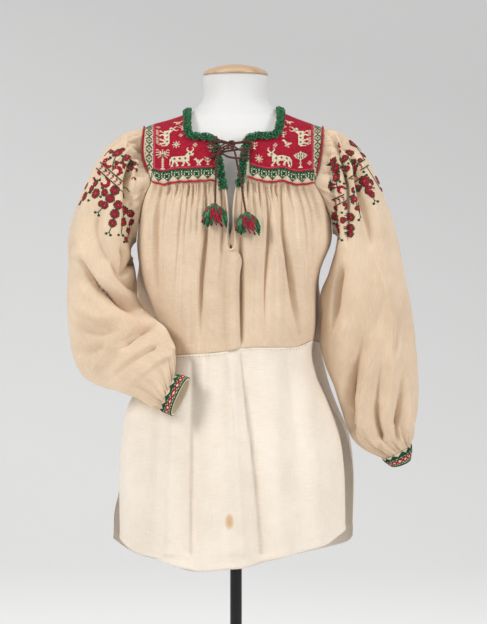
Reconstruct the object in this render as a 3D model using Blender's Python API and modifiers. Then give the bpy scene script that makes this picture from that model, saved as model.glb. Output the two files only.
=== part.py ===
"""Gathered linen blouse with an embroidered yoke, standing on a limbless dress form.

The garment is cut as it is sewn: a square yoke in three pieces, a gathered upper front and
upper back, a plain lower front and lower back, and two full sleeves on narrow wrist bands.
The front view is drawn on a sheet of squares, SQUARE metres each on the centre plane. Sheet
columns count to the viewer's right and sheet rows count downwards. Left and right are the
viewer's. A place on the sheet becomes a point in space once its depth is known.
"""

import math

import bmesh
import bpy
import numpy as np

# Sheet and stance
SQUARE = 0.0017
CENTRE_COLUMN = 236.0
EYE_ROW = 312.0
EYE_HEIGHT = 0.6986
EYE_DISTANCE = 4.0

# Cloth
WALL = 0.0013
BAND_WALL = 0.0020
SEAM_GAP = 0.0005
ARMHOLE_GAP = 0.0013
FOLD_SHARE = 0.7
SEAM_FLATTENING = 0.35
BODY_POWER = 2.5
YOKE_POWER = 2.4
SLEEVE_POWER = 2.3

# Trim
PIPING_RADIUS = 0.0015
LACE_RADIUS = 0.0013
EDGING_HALF_WIDTH = 0.0058
EDGING_HALF_THICKNESS = 0.0025
TASSEL_LOCKS = 30

# Stand
NECK_CAP_RADIUS = 0.0553
POLE_RADIUS = 0.0100
BASE_RADIUS = 0.165
BASE_THICKNESS = 0.012
STAND_GAP = 0.0004

# Body of the garment: sheet row, left edge, right edge, depth in front, depth behind (metres)
BODY_ROWS = [
    (100, 141.5, 324.0, 0.112, 0.092),
    (168, 141.5, 324.0, 0.114, 0.094),
    (182, 141.5, 324.5, 0.117, 0.098),
    (206, 138.5, 330.0, 0.123, 0.104),
    (224, 137.3, 332.2, 0.126, 0.106),
    (243, 137.0, 331.0, 0.128, 0.106),
    (264, 139.0, 322.5, 0.127, 0.104),
    (283, 143.0, 317.0, 0.126, 0.101),
    (303, 150.0, 316.0, 0.124, 0.098),
    (328, 158.0, 315.5, 0.121, 0.095),
    (352, 159.0, 312.0, 0.120, 0.094),
    (375, 147.5, 316.5, 0.122, 0.098),
    (401, 130.0, 327.5, 0.127, 0.104),
    (432, 122.2, 338.8, 0.132, 0.110),
    (466, 119.4, 343.8, 0.135, 0.114),
    (506, 119.4, 345.2, 0.136, 0.117),
    (575, 121.0, 344.5, 0.135, 0.118),
]

# Fullness of the back beside the front's edges: sheet row, to the left, to the right (squares)
SIDE_FULLNESS = [
    (100, 0, 0), (190, 0, 0), (232, 0, 0), (243, -0.6, 0.4), (264, -8, 6), (283, -17, 11),
    (303, -23, 15), (328, -29, 16),
    (352, -29, 20), (375, -20, 22), (401, -8, 20), (432, -5, 18), (466, -2, 16), (575, 0, 14),
]
FULLNESS_PLACE = 0.90
FULLNESS_REACH = 0.13
FULLNESS_DEPTH = 0.012

# Seams across the garment: sheet column, sheet row
YOKE_SEAM = [
    (130, 181.0), (152, 181.0), (162, 184.3), (173, 182.4), (190, 181.4), (214, 180.4),
    (226, 180.6), (236, 177.5), (246, 176.6), (258, 180.0), (270, 182.0), (284, 181.0),
    (293, 184.0), (314, 183.0), (336, 183.0),
]
WAIST_SEAM = [
    (130, 357.5), (160, 357.0), (178, 355.4), (224, 351.8), (240, 348.6), (284, 347.6),
    (298, 346.6), (308, 342.0), (317, 337.3), (336, 336.0),
]
HEM = [
    (113, 531.0), (120.7, 539.4), (134.4, 551.5), (160, 560.0), (182.7, 569.0), (196.4, 571.5),
    (220, 570.0), (243, 568.0), (262, 563.0), (293, 555.0), (317, 548.0), (337.6, 537.0),
    (345, 530.0), (354, 519.0),
]
BACK_YOKE_ROW = 168.0

# Shoulder line from the armhole to the neck: sheet column, sheet row
RIDGE_LEFT = [
    (136, 130.5), (143.5, 128.5), (154, 124.6), (170, 120.2), (185, 114.8), (190, 112.6),
    (236, 112.6),
]
RIDGE_RIGHT = [
    (236, 111.6), (278, 111.6), (285, 114.2), (297, 119.2), (313, 124.9), (323.5, 128.5),
    (330, 130.5),
]

# Outer edge of the yoke: share of the way from the shoulder to the seam, sheet column
YOKE_OUTER_LEFT = [(0, 143.5), (0.6, 143.5), (0.82, 147.5), (1.0, 151.5)]
YOKE_OUTER_RIGHT = [(0, 323.3), (0.5, 320.5), (0.82, 317.0), (1.0, 314.2)]
STRAP_INNER_LEFT = 190.0
STRAP_INNER_RIGHT = 277.5
STRIP_TOP = 0.36
BACK_STRIP_TOP = 0.30
SLIT_AT_STRIP_LEFT = (217.0, 225.0)
SLIT_AT_STRIP_RIGHT = (244.2, 237.4)

# Front armhole below the yoke: sheet column, sheet row
ARMHOLE_FRONT_LEFT = [
    (151.5, 181.0), (146.8, 194.0), (143.0, 206.0), (139.8, 222.0), (138.0, 234.0), (137.0, 243.0),
]
ARMHOLE_FRONT_RIGHT = [
    (314.2, 183.0), (319.6, 194.0), (324.8, 206.0), (329.3, 218.0), (331.4, 227.0), (332.0, 235.0),
]
ARMHOLE_BACK_LEFT = [
    (149.0, 168.0), (145.0, 184.0), (141.4, 206.0), (138.9, 222.0), (137.8, 234.0), (137.0, 243.0),
]
ARMHOLE_BACK_RIGHT = [
    (316.6, 168.0), (320.4, 184.0), (327.2, 206.0), (330.4, 218.0), (331.8, 227.0), (332.0, 235.0),
]

# Gathers of the upper front, one row for each valley: sheet column at the yoke seam, at row
# 230, at row 300 and at the waist, then depth in millimetres under the seam and at those rows
FOLD_LEVELS = (182.0, 230.0, 300.0, 352.0)
FRONT_FOLDS_LEFT = [
    (220.8, 223.0, 219.0, 219.0, 2.2, 2.2, 0.6, 0.2),
    (215.2, 216.0, 213.0, 213.0, 2.0, 0.8, 0.4, 0.1),
    (209.8, 211.0, 208.0, 208.0, 2.2, 1.2, 0.4, 0.1),
    (204.6, 205.2, 199.8, 201.0, 3.0, 4.2, 3.4, 0.8),
    (198.8, 197.5, 194.0, 195.0, 2.2, 0.8, 0.5, 0.2),
    (192.8, 191.5, 188.0, 189.0, 2.2, 0.9, 0.4, 0.1),
    (188.0, 185.0, 181.5, 181.0, 2.2, 2.6, 1.8, 0.8),
    (182.6, 178.5, 174.5, 175.0, 2.8, 2.0, 0.6, 0.4),
    (176.4, 171.0, 169.0, 170.0, 2.4, 0.8, 0.4, 0.2),
    (168.6, 163.0, 164.0, 166.0, 3.0, 1.2, 1.2, 0.2),
    (161.0, 154.0, 158.5, 163.5, 3.0, 3.2, 1.6, 0.2),
    (154.6, 147.5, 154.0, 161.5, 2.6, 1.8, 0.6, 0.2),
]
FRONT_FOLDS_RIGHT = [
    (242.4, 241.5, 240.8, 240.6, 2.2, 2.8, 3.6, 1.6),
    (248.0, 249.0, 249.0, 247.0, 2.2, 1.0, 0.8, 0.3),
    (253.6, 255.0, 255.0, 254.0, 2.6, 1.0, 0.5, 0.2),
    (259.2, 262.0, 260.5, 260.0, 2.2, 0.8, 0.5, 0.2),
    (265.2, 269.8, 265.4, 266.0, 2.6, 3.8, 2.6, 0.8),
    (271.2, 275.5, 275.5, 275.0, 2.4, 1.2, 0.7, 0.2),
    (276.6, 280.2, 284.0, 285.0, 2.4, 1.4, 0.8, 0.2),
    (282.2, 285.0, 296.4, 302.0, 3.0, 3.8, 3.2, 1.2),
    (289.0, 296.0, 302.0, 304.6, 2.6, 1.4, 0.6, 0.2),
    (297.0, 306.5, 306.4, 306.8, 3.0, 2.0, 0.8, 0.2),
    (303.8, 314.8, 310.4, 309.0, 2.8, 2.6, 1.2, 0.2),
    (309.4, 322.5, 313.2, 310.8, 2.4, 2.8, 2.4, 0.4),
]
BACK_FOLDS = [
    (158.0, 151.0, 158.0, 165.0, 2.8, 2.4, 1.2, 0.3),
    (166.0, 160.0, 165.0, 172.0, 2.6, 1.6, 0.6, 0.2),
    (173.5, 168.0, 172.0, 178.0, 3.0, 3.2, 2.4, 0.6),
    (181.0, 176.5, 179.0, 184.0, 2.4, 1.2, 0.6, 0.2),
    (188.5, 185.0, 186.5, 190.5, 2.8, 1.8, 0.8, 0.2),
    (196.0, 193.5, 194.0, 197.0, 2.6, 3.4, 2.8, 0.8),
    (203.5, 202.0, 202.0, 204.0, 2.4, 1.0, 0.4, 0.1),
    (211.0, 210.5, 210.0, 211.0, 2.8, 1.6, 0.6, 0.2),
    (218.5, 218.5, 218.5, 218.5, 2.4, 2.8, 1.6, 0.4),
    (226.5, 227.0, 226.5, 226.0, 2.6, 1.2, 0.5, 0.1),
    (234.0, 234.5, 234.5, 234.0, 3.0, 3.0, 2.6, 0.8),
    (241.5, 242.5, 242.0, 241.5, 2.4, 1.2, 0.5, 0.1),
    (249.5, 250.5, 250.5, 249.5, 2.8, 1.8, 0.8, 0.2),
    (257.0, 259.0, 259.0, 257.0, 2.6, 3.2, 2.2, 0.6),
    (265.0, 267.5, 267.0, 264.5, 2.4, 1.0, 0.4, 0.1),
    (272.5, 276.5, 275.0, 272.0, 2.8, 1.8, 0.8, 0.2),
    (280.5, 285.5, 283.0, 279.5, 2.6, 2.8, 2.4, 0.6),
    (288.5, 295.0, 291.0, 287.0, 2.8, 1.4, 0.6, 0.2),
    (296.5, 304.5, 298.5, 294.5, 2.6, 2.2, 1.0, 0.2),
    (304.5, 314.0, 305.0, 301.5, 2.8, 2.4, 1.2, 0.3),
]
FRONT_DOWN = (0, 0.04, 0.12, 0.26, 0.40, 0.46, 0.70, 1.0)
SLIT_END = 4
FRONT_CRESTS = (1 / 3, 2 / 3)
BACK_CRESTS = (0.5,)
BACK_DOWN = (0, 0.05, 0.15, 0.36, 0.66, 1.0)

# Slit edges and the raised pleat under it: share of the way down, left edge, right edge
SLIT_AND_PLEAT = [
    (0.0, 225.2, 237.2), (0.28, 228.6, 232.4), (0.40, 229.6, 231.0), (0.45, 227.0, 238.2),
    (0.58, 226.2, 239.0), (1.0, 226.2, 239.2),
]
PLEAT_HEIGHT = 0.0032
SLIT_CLEARANCE = 0.010
SLIT_NEIGHBOURS = 4

# Soft folds of the lower panels: sheet column at rows 355, 460 and 560, height and half width
SKIRT_LEVELS = (355.0, 460.0, 560.0)
SKIRT_FOLDS_FRONT = [
    (140, 132, 128, 0.0035, 9), (166, 156, 150, -0.0040, 9), (178, 172, 170, 0.0035, 10),
    (192, 191, 190, -0.0045, 8), (210, 212, 214, 0.0028, 9), (232, 238, 242, 0.0050, 8),
    (246, 252, 261, -0.0045, 8), (270, 276, 282, 0.0035, 10), (290, 297, 304, -0.0035, 9),
    (304, 316, 324, 0.0035, 9), (312, 334, 338, -0.0030, 7),
]
SKIRT_FOLDS_BACK = [
    (168, 150, 144, -0.0045, 9), (184, 172, 166, 0.0045, 10), (204, 196, 190, -0.0045, 9),
    (222, 218, 214, 0.0045, 10), (240, 240, 242, -0.0050, 9), (258, 264, 268, 0.0045, 10),
    (276, 288, 296, -0.0045, 9), (292, 308, 318, 0.0040, 10), (304, 326, 336, -0.0035, 8),
]
BACK_PANEL_FLARE_LEFT = [(340, 0.0), (490, 0.0), (512, -5.5), (527, -6.5), (575, -5.0)]
BACK_PANEL_FLARE_RIGHT = [(340, 0.0), (400, 1.0), (440, 8.0), (494, 9.0), (518, 8.0), (575, 7.0)]

# Sleeves, one row for each section: outer column and row, inner column and row, depth of the
# middle, half depth (metres), and how far the front leans along the sleeve (squares)
SLEEVE_LEFT = [
    (129.0, 131.0, 131.5, 248.0, 0.000, 0.074, 0),
    (118.0, 136.5, 130.5, 252.5, 0.000, 0.079, 0),
    (104.5, 149.5, 131.5, 257.5, 0.000, 0.081, 0),
    (91.0, 173.0, 133.5, 264.0, 0.000, 0.081, 0),
    (78.0, 203.0, 135.5, 272.0, -0.002, 0.080, 0),
    (69.0, 236.0, 136.5, 281.0, -0.006, 0.077, 0),
    (68.2, 268.0, 137.0, 289.5, -0.010, 0.073, 0),
    (67.4, 298.0, 138.0, 297.0, -0.016, 0.068, 0),
    (68.6, 327.0, 140.5, 303.0, -0.024, 0.063, 0),
    (72.0, 351.0, 144.0, 308.5, -0.036, 0.058, 0),
    (81.0, 373.5, 149.5, 314.0, -0.052, 0.052, 0),
    (97.0, 385.0, 157.5, 321.0, -0.076, 0.046, 0),
    (119.0, 391.8, 166.5, 330.5, -0.099, 0.040, 0),
    (138.0, 399.0, 173.0, 345.0, -0.117, 0.033, 1),
    (151.0, 405.0, 174.6, 360.0, -0.131, 0.025, 1),
    (159.0, 409.2, 174.6, 374.6, -0.141, 0.0165, 0),
]
SLEEVE_RIGHT = [
    (338.0, 131.3, 337.5, 238.0, 0.000, 0.074, 0),
    (350.0, 139.8, 337.5, 242.5, 0.000, 0.079, 0),
    (364.0, 154.0, 335.5, 249.0, 0.000, 0.081, 0),
    (378.5, 181.0, 332.5, 261.0, 0.002, 0.080, 0),
    (388.5, 208.0, 328.5, 275.0, 0.003, 0.078, 0),
    (397.5, 239.0, 324.5, 291.0, 0.004, 0.076, 0),
    (404.5, 271.0, 321.5, 308.0, 0.004, 0.073, 0),
    (411.0, 305.0, 319.8, 325.0, 0.003, 0.070, 0),
    (416.0, 340.0, 320.4, 343.0, 0.001, 0.066, 0),
    (418.4, 370.0, 324.2, 361.5, -0.002, 0.062, 0),
    (418.6, 394.0, 331.0, 380.0, -0.004, 0.056, 0),
    (417.8, 413.0, 338.2, 402.0, -0.006, 0.049, 0),
    (415.6, 426.0, 346.5, 426.0, -0.008, 0.040, 1),
    (413.4, 434.0, 359.0, 444.0, -0.009, 0.030, 3),
    (410.6, 441.4, 381.6, 457.4, -0.010, 0.0185, 4),
]
CUFF_LEFT = [
    (159.0, 409.2, 174.6, 374.6, -0.141, 0.0165, 0),
    (165.5, 412.6, 182.6, 375.6, -0.1465, 0.0160, -2),
    (172.4, 415.4, 189.4, 378.4, -0.152, 0.0155, -4),
]
CUFF_RIGHT = [
    (410.6, 441.4, 381.6, 457.4, -0.010, 0.0185, 4),
    (411.4, 449.6, 385.6, 461.6, -0.010, 0.0180, 4.4),
    (410.2, 457.6, 390.2, 464.4, -0.010, 0.0170, 4.8),
]
SLEEVE_COLUMNS = 28
CUFF_COLUMNS = 24
HEAD_GATHER = 0.0038
WRIST_GATHER = 0.0026

# Large creases of the sleeves: sheet points of the crease, height (metres), half width, side
SLEEVE_CREASES_LEFT = [
    ([(79, 259), (89, 277), (100, 288), (114, 296), (127, 303), (142, 311)], -0.0085, 6.0, 1),
    ([(92, 376), (108, 358), (124, 340), (140, 326)], 0.0060, 6.5, 1),
    ([(121, 349), (132, 337), (143, 327), (154, 322)], -0.0050, 4.0, 1),
    ([(131, 164), (126, 180), (126, 203), (125, 224), (124, 250)], -0.0060, 4.5, 1),
    ([(132, 190), (134, 207), (136, 222), (137, 240)], -0.0045, 3.5, 1),
    ([(112, 262), (118, 274), (128, 284), (139, 292)], -0.0050, 4.5, 1),
    ([(72, 300), (84, 312), (100, 318), (120, 318)], 0.0040, 7.0, 1),
    ([(84, 230), (90, 262), (104, 284), (130, 300)], -0.0070, 6.0, -1),
    ([(76, 330), (98, 330), (122, 322), (142, 312)], -0.0060, 6.0, -1),
    ([(122, 170), (116, 200), (112, 236)], -0.0055, 5.0, -1),
]
SLEEVE_CREASES_RIGHT = [
    ([(332, 136), (340, 152), (346, 176), (348, 212), (346.5, 246)], -0.0060, 4.5, 1),
    ([(344, 135), (356, 158), (360, 182), (366, 212), (372, 250)], -0.0055, 5.0, 1),
    ([(368, 338), (356, 372), (347, 409), (349, 438)], -0.0080, 6.0, 1),
    ([(388, 360), (382, 396), (380, 424), (386, 444)], -0.0060, 5.0, 1),
    ([(404, 372), (402, 400), (398, 424), (397, 444)], -0.0045, 4.5, 1),
    ([(342, 262), (336, 290), (334, 318)], -0.0050, 4.5, 1),
    ([(346, 150), (352, 190), (356, 236)], -0.0060, 5.0, -1),
    ([(376, 300), (372, 346), (374, 392), (384, 436)], -0.0070, 6.0, -1),
    ([(396, 330), (398, 372), (396, 420)], -0.0050, 5.0, -1),
]

# Dress form: sheet row, centre column, half width, depth in front, depth behind, power
FORM_ROWS = [
    (76.0, 235.5, 31.4, 0.0500, 0.0540, 2.0),
    (95.0, 235.5, 31.4, 0.0500, 0.0540, 2.0),
    (102.5, 235.3, 33.4, 0.0520, 0.0560, 2.0),
    (109.0, 235.0, 37.2, 0.0550, 0.0580, 2.0),
    (114.0, 235.0, 41.5, 0.0580, 0.0590, 2.1),
    (118.0, 234.4, 50.0, 0.0610, 0.0610, 2.1),
    (122.0, 234.0, 60.0, 0.0650, 0.0630, 2.2),
    (127.0, 233.6, 70.0, 0.0700, 0.0660, 2.2),
    (133.0, 233.2, 77.5, 0.0770, 0.0690, 2.3),
    (142.0, 233.0, 83.5, 0.0860, 0.0740, 2.3),
    (156.0, 233.0, 85.0, 0.0950, 0.0790, 2.3),
    (182.0, 233.0, 86.0, 0.1040, 0.0860, 2.3),
    (215.0, 233.5, 86.5, 0.1080, 0.0900, 2.3),
    (255.0, 233.5, 82.0, 0.1040, 0.0880, 2.3),
    (295.0, 233.5, 72.0, 0.0940, 0.0800, 2.2),
    (335.0, 234.0, 66.0, 0.0860, 0.0740, 2.2),
    (370.0, 234.0, 71.0, 0.0900, 0.0800, 2.2),
    (402.0, 234.0, 79.0, 0.0960, 0.0880, 2.2),
    (424.0, 234.0, 80.0, 0.0970, 0.0900, 2.2),
    (434.0, 234.0, 75.0, 0.0920, 0.0850, 2.2),
]
FORM_COLUMNS = 24

# Green wool edging round the neck and down the slit: sheet column and row of its middle line
EDGING_FRONT_LEFT = [(223.6, 189.0), (221.2, 174.0), (218.8, 160.0), (216.2, 147.0), (213.0, 139.8),
                     (206.0, 137.8), (197.0, 137.6), (190.2, 135.6), (188.4, 129.0), (188.2, 121.0)]
EDGING_FRONT_RIGHT = [(239.0, 187.0), (241.4, 174.0), (243.6, 160.0), (245.8, 147.0), (249.0, 139.2),
                      (256.0, 136.8), (267.0, 136.8), (275.6, 135.0), (278.4, 129.0), (279.8, 121.0)]
EDGING_BACK_ROWS = [(0.06, 0), (0.16, 0), (0.25, 2), (0.29, 8)]

# Lace: sheet column, sheet row, height over the yoke (metres)
LACE_KNOT = (232.0, 143.2)
LACE_KNOT_RADII = (0.0046, 0.0040, 0.0042)
LACE_HEIGHT = 0.0090
LACES = {
    "lace_top_left": [
        (207.0, 144.2, 0.0018), (209.2, 143.4, 0.0062), (211.6, 142.6, 0.0086),
        (215.0, 142.0, 0.0090), (219.0, 142.0, 0.0090), (224.0, 142.6, 0.0088),
        (229.0, 143.1, 0.0090),
    ],
    "lace_top_right": [
        (252.8, 144.0, 0.0018), (250.4, 143.4, 0.0062), (247.4, 142.9, 0.0086),
        (243.0, 142.6, 0.0088), (239.0, 142.9, 0.0088), (235.0, 143.1, 0.0090),
    ],
    "lace_rising": [
        (209.4, 157.8, 0.0018), (212.4, 156.8, 0.0042), (215.6, 155.2, 0.0078),
        (219.5, 153.4, 0.0080), (224.0, 151.8, 0.0080), (233.0, 150.2, 0.0080),
        (241.0, 149.2, 0.0080), (245.4, 148.8, 0.0080), (248.6, 148.6, 0.0066),
        (251.6, 148.4, 0.0018),
    ],
    "lace_falling": [
        (208.6, 149.0, 0.0018), (211.8, 149.6, 0.0054), (215.0, 150.6, 0.0090),
        (219.5, 152.0, 0.0114), (224.0, 154.6, 0.0114), (229.0, 157.0, 0.0096),
        (234.0, 157.9, 0.0084), (240.0, 158.1, 0.0080), (244.0, 158.3, 0.0080),
        (247.4, 158.4, 0.0066), (250.8, 158.5, 0.0018),
    ],
    "lace_end_left": [
        (229.6, 145.0, 0.0094), (225.5, 146.0, 0.0125), (221.4, 148.6, 0.0148),
        (218.6, 154.0, 0.0152), (217.2, 161.0, 0.0138), (216.2, 173.0, 0.0120),
        (215.4, 188.0, 0.0115), (215.2, 205.0, 0.0140),
    ],
    "lace_end_right": [
        (232.6, 146.0, 0.0094), (234.0, 149.5, 0.0122), (235.6, 155.0, 0.0130),
        (237.2, 163.8, 0.0128), (239.8, 175.0, 0.0122), (241.8, 187.0, 0.0118),
        (243.8, 200.0, 0.0118), (246.0, 213.2, 0.0140),
    ],
}

# Tassels: head column and row, middle of the wool, half width, half height, half depth (squares)
TASSELS = {
    "tassel_left": ((215.2, 205.6), (215.6, 219.6), 12.6, 13.6, 7.6),
    "tassel_right": ((246.2, 213.8), (249.0, 227.8), 12.2, 13.2, 8.4),
}
TASSEL_DEPTH = 0.0140
TASSEL_HEAD_RADIUS = 0.0068
TASSEL_TURN = 2.399963
LOCK_RADIUS = 0.0020

LINEN = (0.76, 0.57, 0.40)
PALE_LINEN = (0.83, 0.73, 0.60)
CRIMSON = (0.45, 0.03, 0.06)
GREEN = (0.02, 0.19, 0.07)


def smooth(table, at):
    """Value at `at` of the smooth line through the rows (knot, value, value...) of a table."""
    rows = np.asarray(table, float)
    knots, values = rows[:, 0], rows[:, 1:]
    at = np.asarray(at, float)
    slopes = np.gradient(values, knots, axis=0)
    low = np.clip(np.searchsorted(knots, at, side="right") - 1, 0, len(knots) - 2)
    span = knots[low + 1] - knots[low]
    t = np.clip((at - knots[low]) / span, 0.0, 1.0)[..., None]
    span = span[..., None]
    first = (1 + 2 * t) * (1 - t) ** 2 * values[low]
    first += t * (1 - t) ** 2 * span * slopes[low]
    second = t * t * (3 - 2 * t) * values[low + 1]
    second += t * t * (t - 1) * span * slopes[low + 1]
    found = first + second
    return found[..., 0] if values.shape[1] == 1 else found


def place(column, row, depth):
    """Point in space of a sheet place that lies `depth` metres behind the centre plane."""
    column, row, depth = np.broadcast_arrays(*(np.asarray(v, float) for v in (column, row, depth)))
    scale = SQUARE * (1 + depth / EYE_DISTANCE)
    across = (column - CENTRE_COLUMN) * scale
    up = EYE_HEIGHT + (EYE_ROW - row) * scale
    return np.stack([across, depth, up], axis=-1)


def body_ring(row):
    """Middle column, half width and the two depths of the garment's body at a sheet row."""
    left, right, front, back = np.moveaxis(smooth(BODY_ROWS, row), -1, 0)
    return (left + right) / 2, (right - left) / 2, front, back


def across_body(column, row):
    """Place of a column between the middle (0) and the sides (-1, 1) of the body."""
    middle, half, _, _ = body_ring(row)
    return np.clip((column - middle) / half, -1.0, 1.0)


def body_point(share, row, behind=False, raised=0.0):
    """Point of the body's surface at a share across it, raised along the outward normal."""
    share = np.clip(np.asarray(share, float), -1.0, 1.0)
    middle, half, front, back = body_ring(row)
    depth = back if behind else front
    round_off = (1 - np.abs(share) ** BODY_POWER) ** (1 / BODY_POWER)
    sign = 1.0 if behind else -1.0
    column = middle + share * half
    back_off = sign * depth * round_off
    if behind:
        left_full, right_full = np.moveaxis(smooth(SIDE_FULLNESS, row), -1, 0)
        swell = np.exp(-((np.abs(share) - FULLNESS_PLACE) / FULLNESS_REACH) ** 2)
        swell = swell * (1 - np.abs(share) ** 20)
        full = np.where(share < 0, left_full, right_full)
        column = column + full * swell
        back_off = back_off + FULLNESS_DEPTH * swell * np.clip(np.abs(full) / 15, 0, 1)
    point = place(column, row, back_off)
    sideways = np.sign(share) * np.abs(share) ** (BODY_POWER - 1) / (half * SQUARE)
    outwards = sign * round_off ** (BODY_POWER - 1) / depth
    normal = np.stack([sideways, outwards, np.zeros_like(sideways)], axis=-1)
    normal /= np.linalg.norm(normal, axis=-1, keepdims=True)
    return point + normal * np.asarray(raised, float)[..., None]


def shoulder_row(column):
    """Sheet row of the shoulder line at a column."""
    leftward = np.asarray(column) < CENTRE_COLUMN
    return np.where(leftward, smooth(RIDGE_LEFT, column), smooth(RIDGE_RIGHT, column))


def yoke_row(column, share, behind=False):
    """Sheet row at a share of the way from the shoulder (0) to the yoke's seam (1)."""
    seam = BACK_YOKE_ROW if behind else smooth(YOKE_SEAM, column)
    ridge = shoulder_row(column)
    return ridge + (seam - ridge) * share


def yoke_base(column, share, behind):
    row = yoke_row(column, share, behind)
    seam = BACK_YOKE_ROW if behind else smooth(YOKE_SEAM, column)
    middle, half, front, back = body_ring(seam)
    across = np.clip(np.abs((column - middle) / half), 0, 1)
    depth = back if behind else front
    curl = (1 - (1 - np.clip(share, 0, 1)) ** YOKE_POWER) ** (1 / YOKE_POWER)
    reach = depth * (1 - across ** BODY_POWER) ** (1 / BODY_POWER) * curl
    return place(column, row, reach if behind else -reach)


def yoke_point(column, share, behind=False, raised=0.0):
    """Point of the yoke at a column and a share from the shoulder down, raised outwards."""
    column, share = np.broadcast_arrays(np.asarray(column, float), np.asarray(share, float))
    step = 0.004
    low = np.clip(share, step, 1 - step)
    down = yoke_base(column, low + step, behind) - yoke_base(column, low - step, behind)
    across = yoke_base(column + 0.5, low, behind) - yoke_base(column - 0.5, low, behind)
    normal = np.cross(down, across)
    normal = -normal if behind else normal
    normal /= np.linalg.norm(normal, axis=-1, keepdims=True)
    return yoke_base(column, share, behind) + normal * np.asarray(raised, float)[..., None]


def along(points, shares):
    """Points at equal shares of the length of a broken line."""
    points = np.asarray(points, float)
    steps = np.linalg.norm(np.diff(points, axis=0), axis=1)
    length = np.concatenate([[0], np.cumsum(steps)])
    table = np.column_stack([length / length[-1], points])
    return smooth(table, np.asarray(shares, float))


def armhole(side, shares, behind=False):
    """Edge of the armhole from the shoulder (0) to the underarm (1)."""
    outer = YOKE_OUTER_LEFT if side == "left" else YOKE_OUTER_RIGHT
    edges = {
        ("left", False): ARMHOLE_FRONT_LEFT, ("right", False): ARMHOLE_FRONT_RIGHT,
        ("left", True): ARMHOLE_BACK_LEFT, ("right", True): ARMHOLE_BACK_RIGHT,
    }
    lower = np.asarray(edges[side, behind], float)
    downs = (0.0, 0.02, 0.06, 0.14, 0.26, 0.42, 0.6, 0.8)
    upper = [yoke_point(back_outer(side, s) if behind else smooth(outer, s), s, behind) for s in downs]
    shares_across = across_body(lower[:, 0], lower[:, 1])
    under = body_point(shares_across, lower[:, 1], behind)
    return along(np.vstack([upper, under]), shares)


def back_outer(side, share):
    """Outer column of the back yoke at a share from the shoulder down."""
    start = smooth(YOKE_OUTER_LEFT if side == "left" else YOKE_OUTER_RIGHT, 0.0)
    end = (ARMHOLE_BACK_LEFT if side == "left" else ARMHOLE_BACK_RIGHT)[0][0]
    return start + (end - start) * np.asarray(share) ** 2


def material(name, colour, roughness=0.85, metallic=0.0):
    made = bpy.data.materials.new(name)
    made.use_nodes = True
    shader = made.node_tree.nodes["Principled BSDF"]
    shader.inputs["Base Color"].default_value = (*colour, 1.0)
    shader.inputs["Roughness"].default_value = roughness
    shader.inputs["Metallic"].default_value = metallic
    return made


def add_object(name, data, colour, roughness=0.85, metallic=0.0):
    made = bpy.data.objects.new(name, data)
    collection.objects.link(made)
    data.materials.append(material(name, colour, roughness, metallic))
    return made


def grid_mesh(name, points, wrap=False, flip=False, left_out=()):
    """Open surface over rows of points; `left_out` holds the (row, column) of missing faces."""
    points = np.asarray(points, float)
    down, across = points.shape[:2]
    faces = []
    for i in range(down - 1):
        for j in range(across if wrap else across - 1):
            if (i, j) in left_out:
                continue
            k = (j + 1) % across
            face = (i * across + j, (i + 1) * across + j, (i + 1) * across + k, i * across + k)
            faces.append(face[::-1] if flip else face)
    data = bpy.data.meshes.new(name)
    data.from_pydata([tuple(p) for p in points.reshape(-1, 3)], [], faces)
    shell = bmesh.new()
    shell.from_mesh(data)
    loose = [v for v in shell.verts if not v.link_faces]
    bmesh.ops.delete(shell, geom=loose, context="VERTS")
    shell.to_mesh(data)
    shell.free()
    data.shade_smooth()
    return data


def cloth(name, points, colour, wall=WALL, **grid):
    """Cloth panel: its outer points, thickened inwards."""
    panel = add_object(name, grid_mesh(name, points, **grid), colour)
    shell = panel.modifiers.new("wall", "SOLIDIFY")
    shell.thickness = wall
    shell.offset = -1.0
    return panel


def cord(name, points, radius, colour, spacing=3.6):
    """Round cord through a smooth line of points."""
    points = np.asarray(points, float)
    length = np.linalg.norm(np.diff(points, axis=0), axis=1).sum()
    count = max(3, int(round(length / (spacing * 2 * radius))) + 1)
    line = along(points, np.linspace(0, 1, count))
    data = bpy.data.curves.new(name, "CURVE")
    data.dimensions = "3D"
    data.bevel_depth = radius
    data.bevel_resolution = 1
    data.use_fill_caps = True
    spline = data.splines.new("POLY")
    spline.points.add(count - 1)
    for knot, point in zip(spline.points, line):
        knot.co = (*point, 1.0)
    return add_object(name, data, colour)


def fold_columns(folds, first, last, crests):
    """Columns of a gathered panel: across and height at each level, a valley and its crests."""
    table = np.asarray(folds, float)
    across = np.stack([across_body(table[:, k], FOLD_LEVELS[k]) for k in range(4)], axis=1)
    depth = table[:, 4:] / 1000
    across = np.vstack([first, across, last])
    depth = np.vstack([np.zeros(4), depth, np.zeros(4)])
    columns = []
    for k in range(len(across) - 1):
        if 0 < k:
            columns.append((across[k], -FOLD_SHARE * depth[k]))
        crest = (1 - FOLD_SHARE) * (depth[k] + depth[k + 1]) / 2
        for part in crests:
            columns.append((across[k] * (1 - part) + across[k + 1] * part, crest))
    return columns


def clear_of_slit(shares, downs, order, side_sign):
    """Keeps the columns nearest the slit and the pleat outside their edges."""
    edge = smooth([row[:1] + row[(2 if side_sign > 0 else 1):][:1] for row in SLIT_AND_PLEAT], downs)
    middle, half, _, _ = body_ring(182.0 + 170.0 * downs)
    limit = (edge - middle) / half + side_sign * SLIT_CLEARANCE * (order + 1)
    return np.maximum(shares, limit) if side_sign > 0 else np.minimum(shares, limit)


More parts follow.
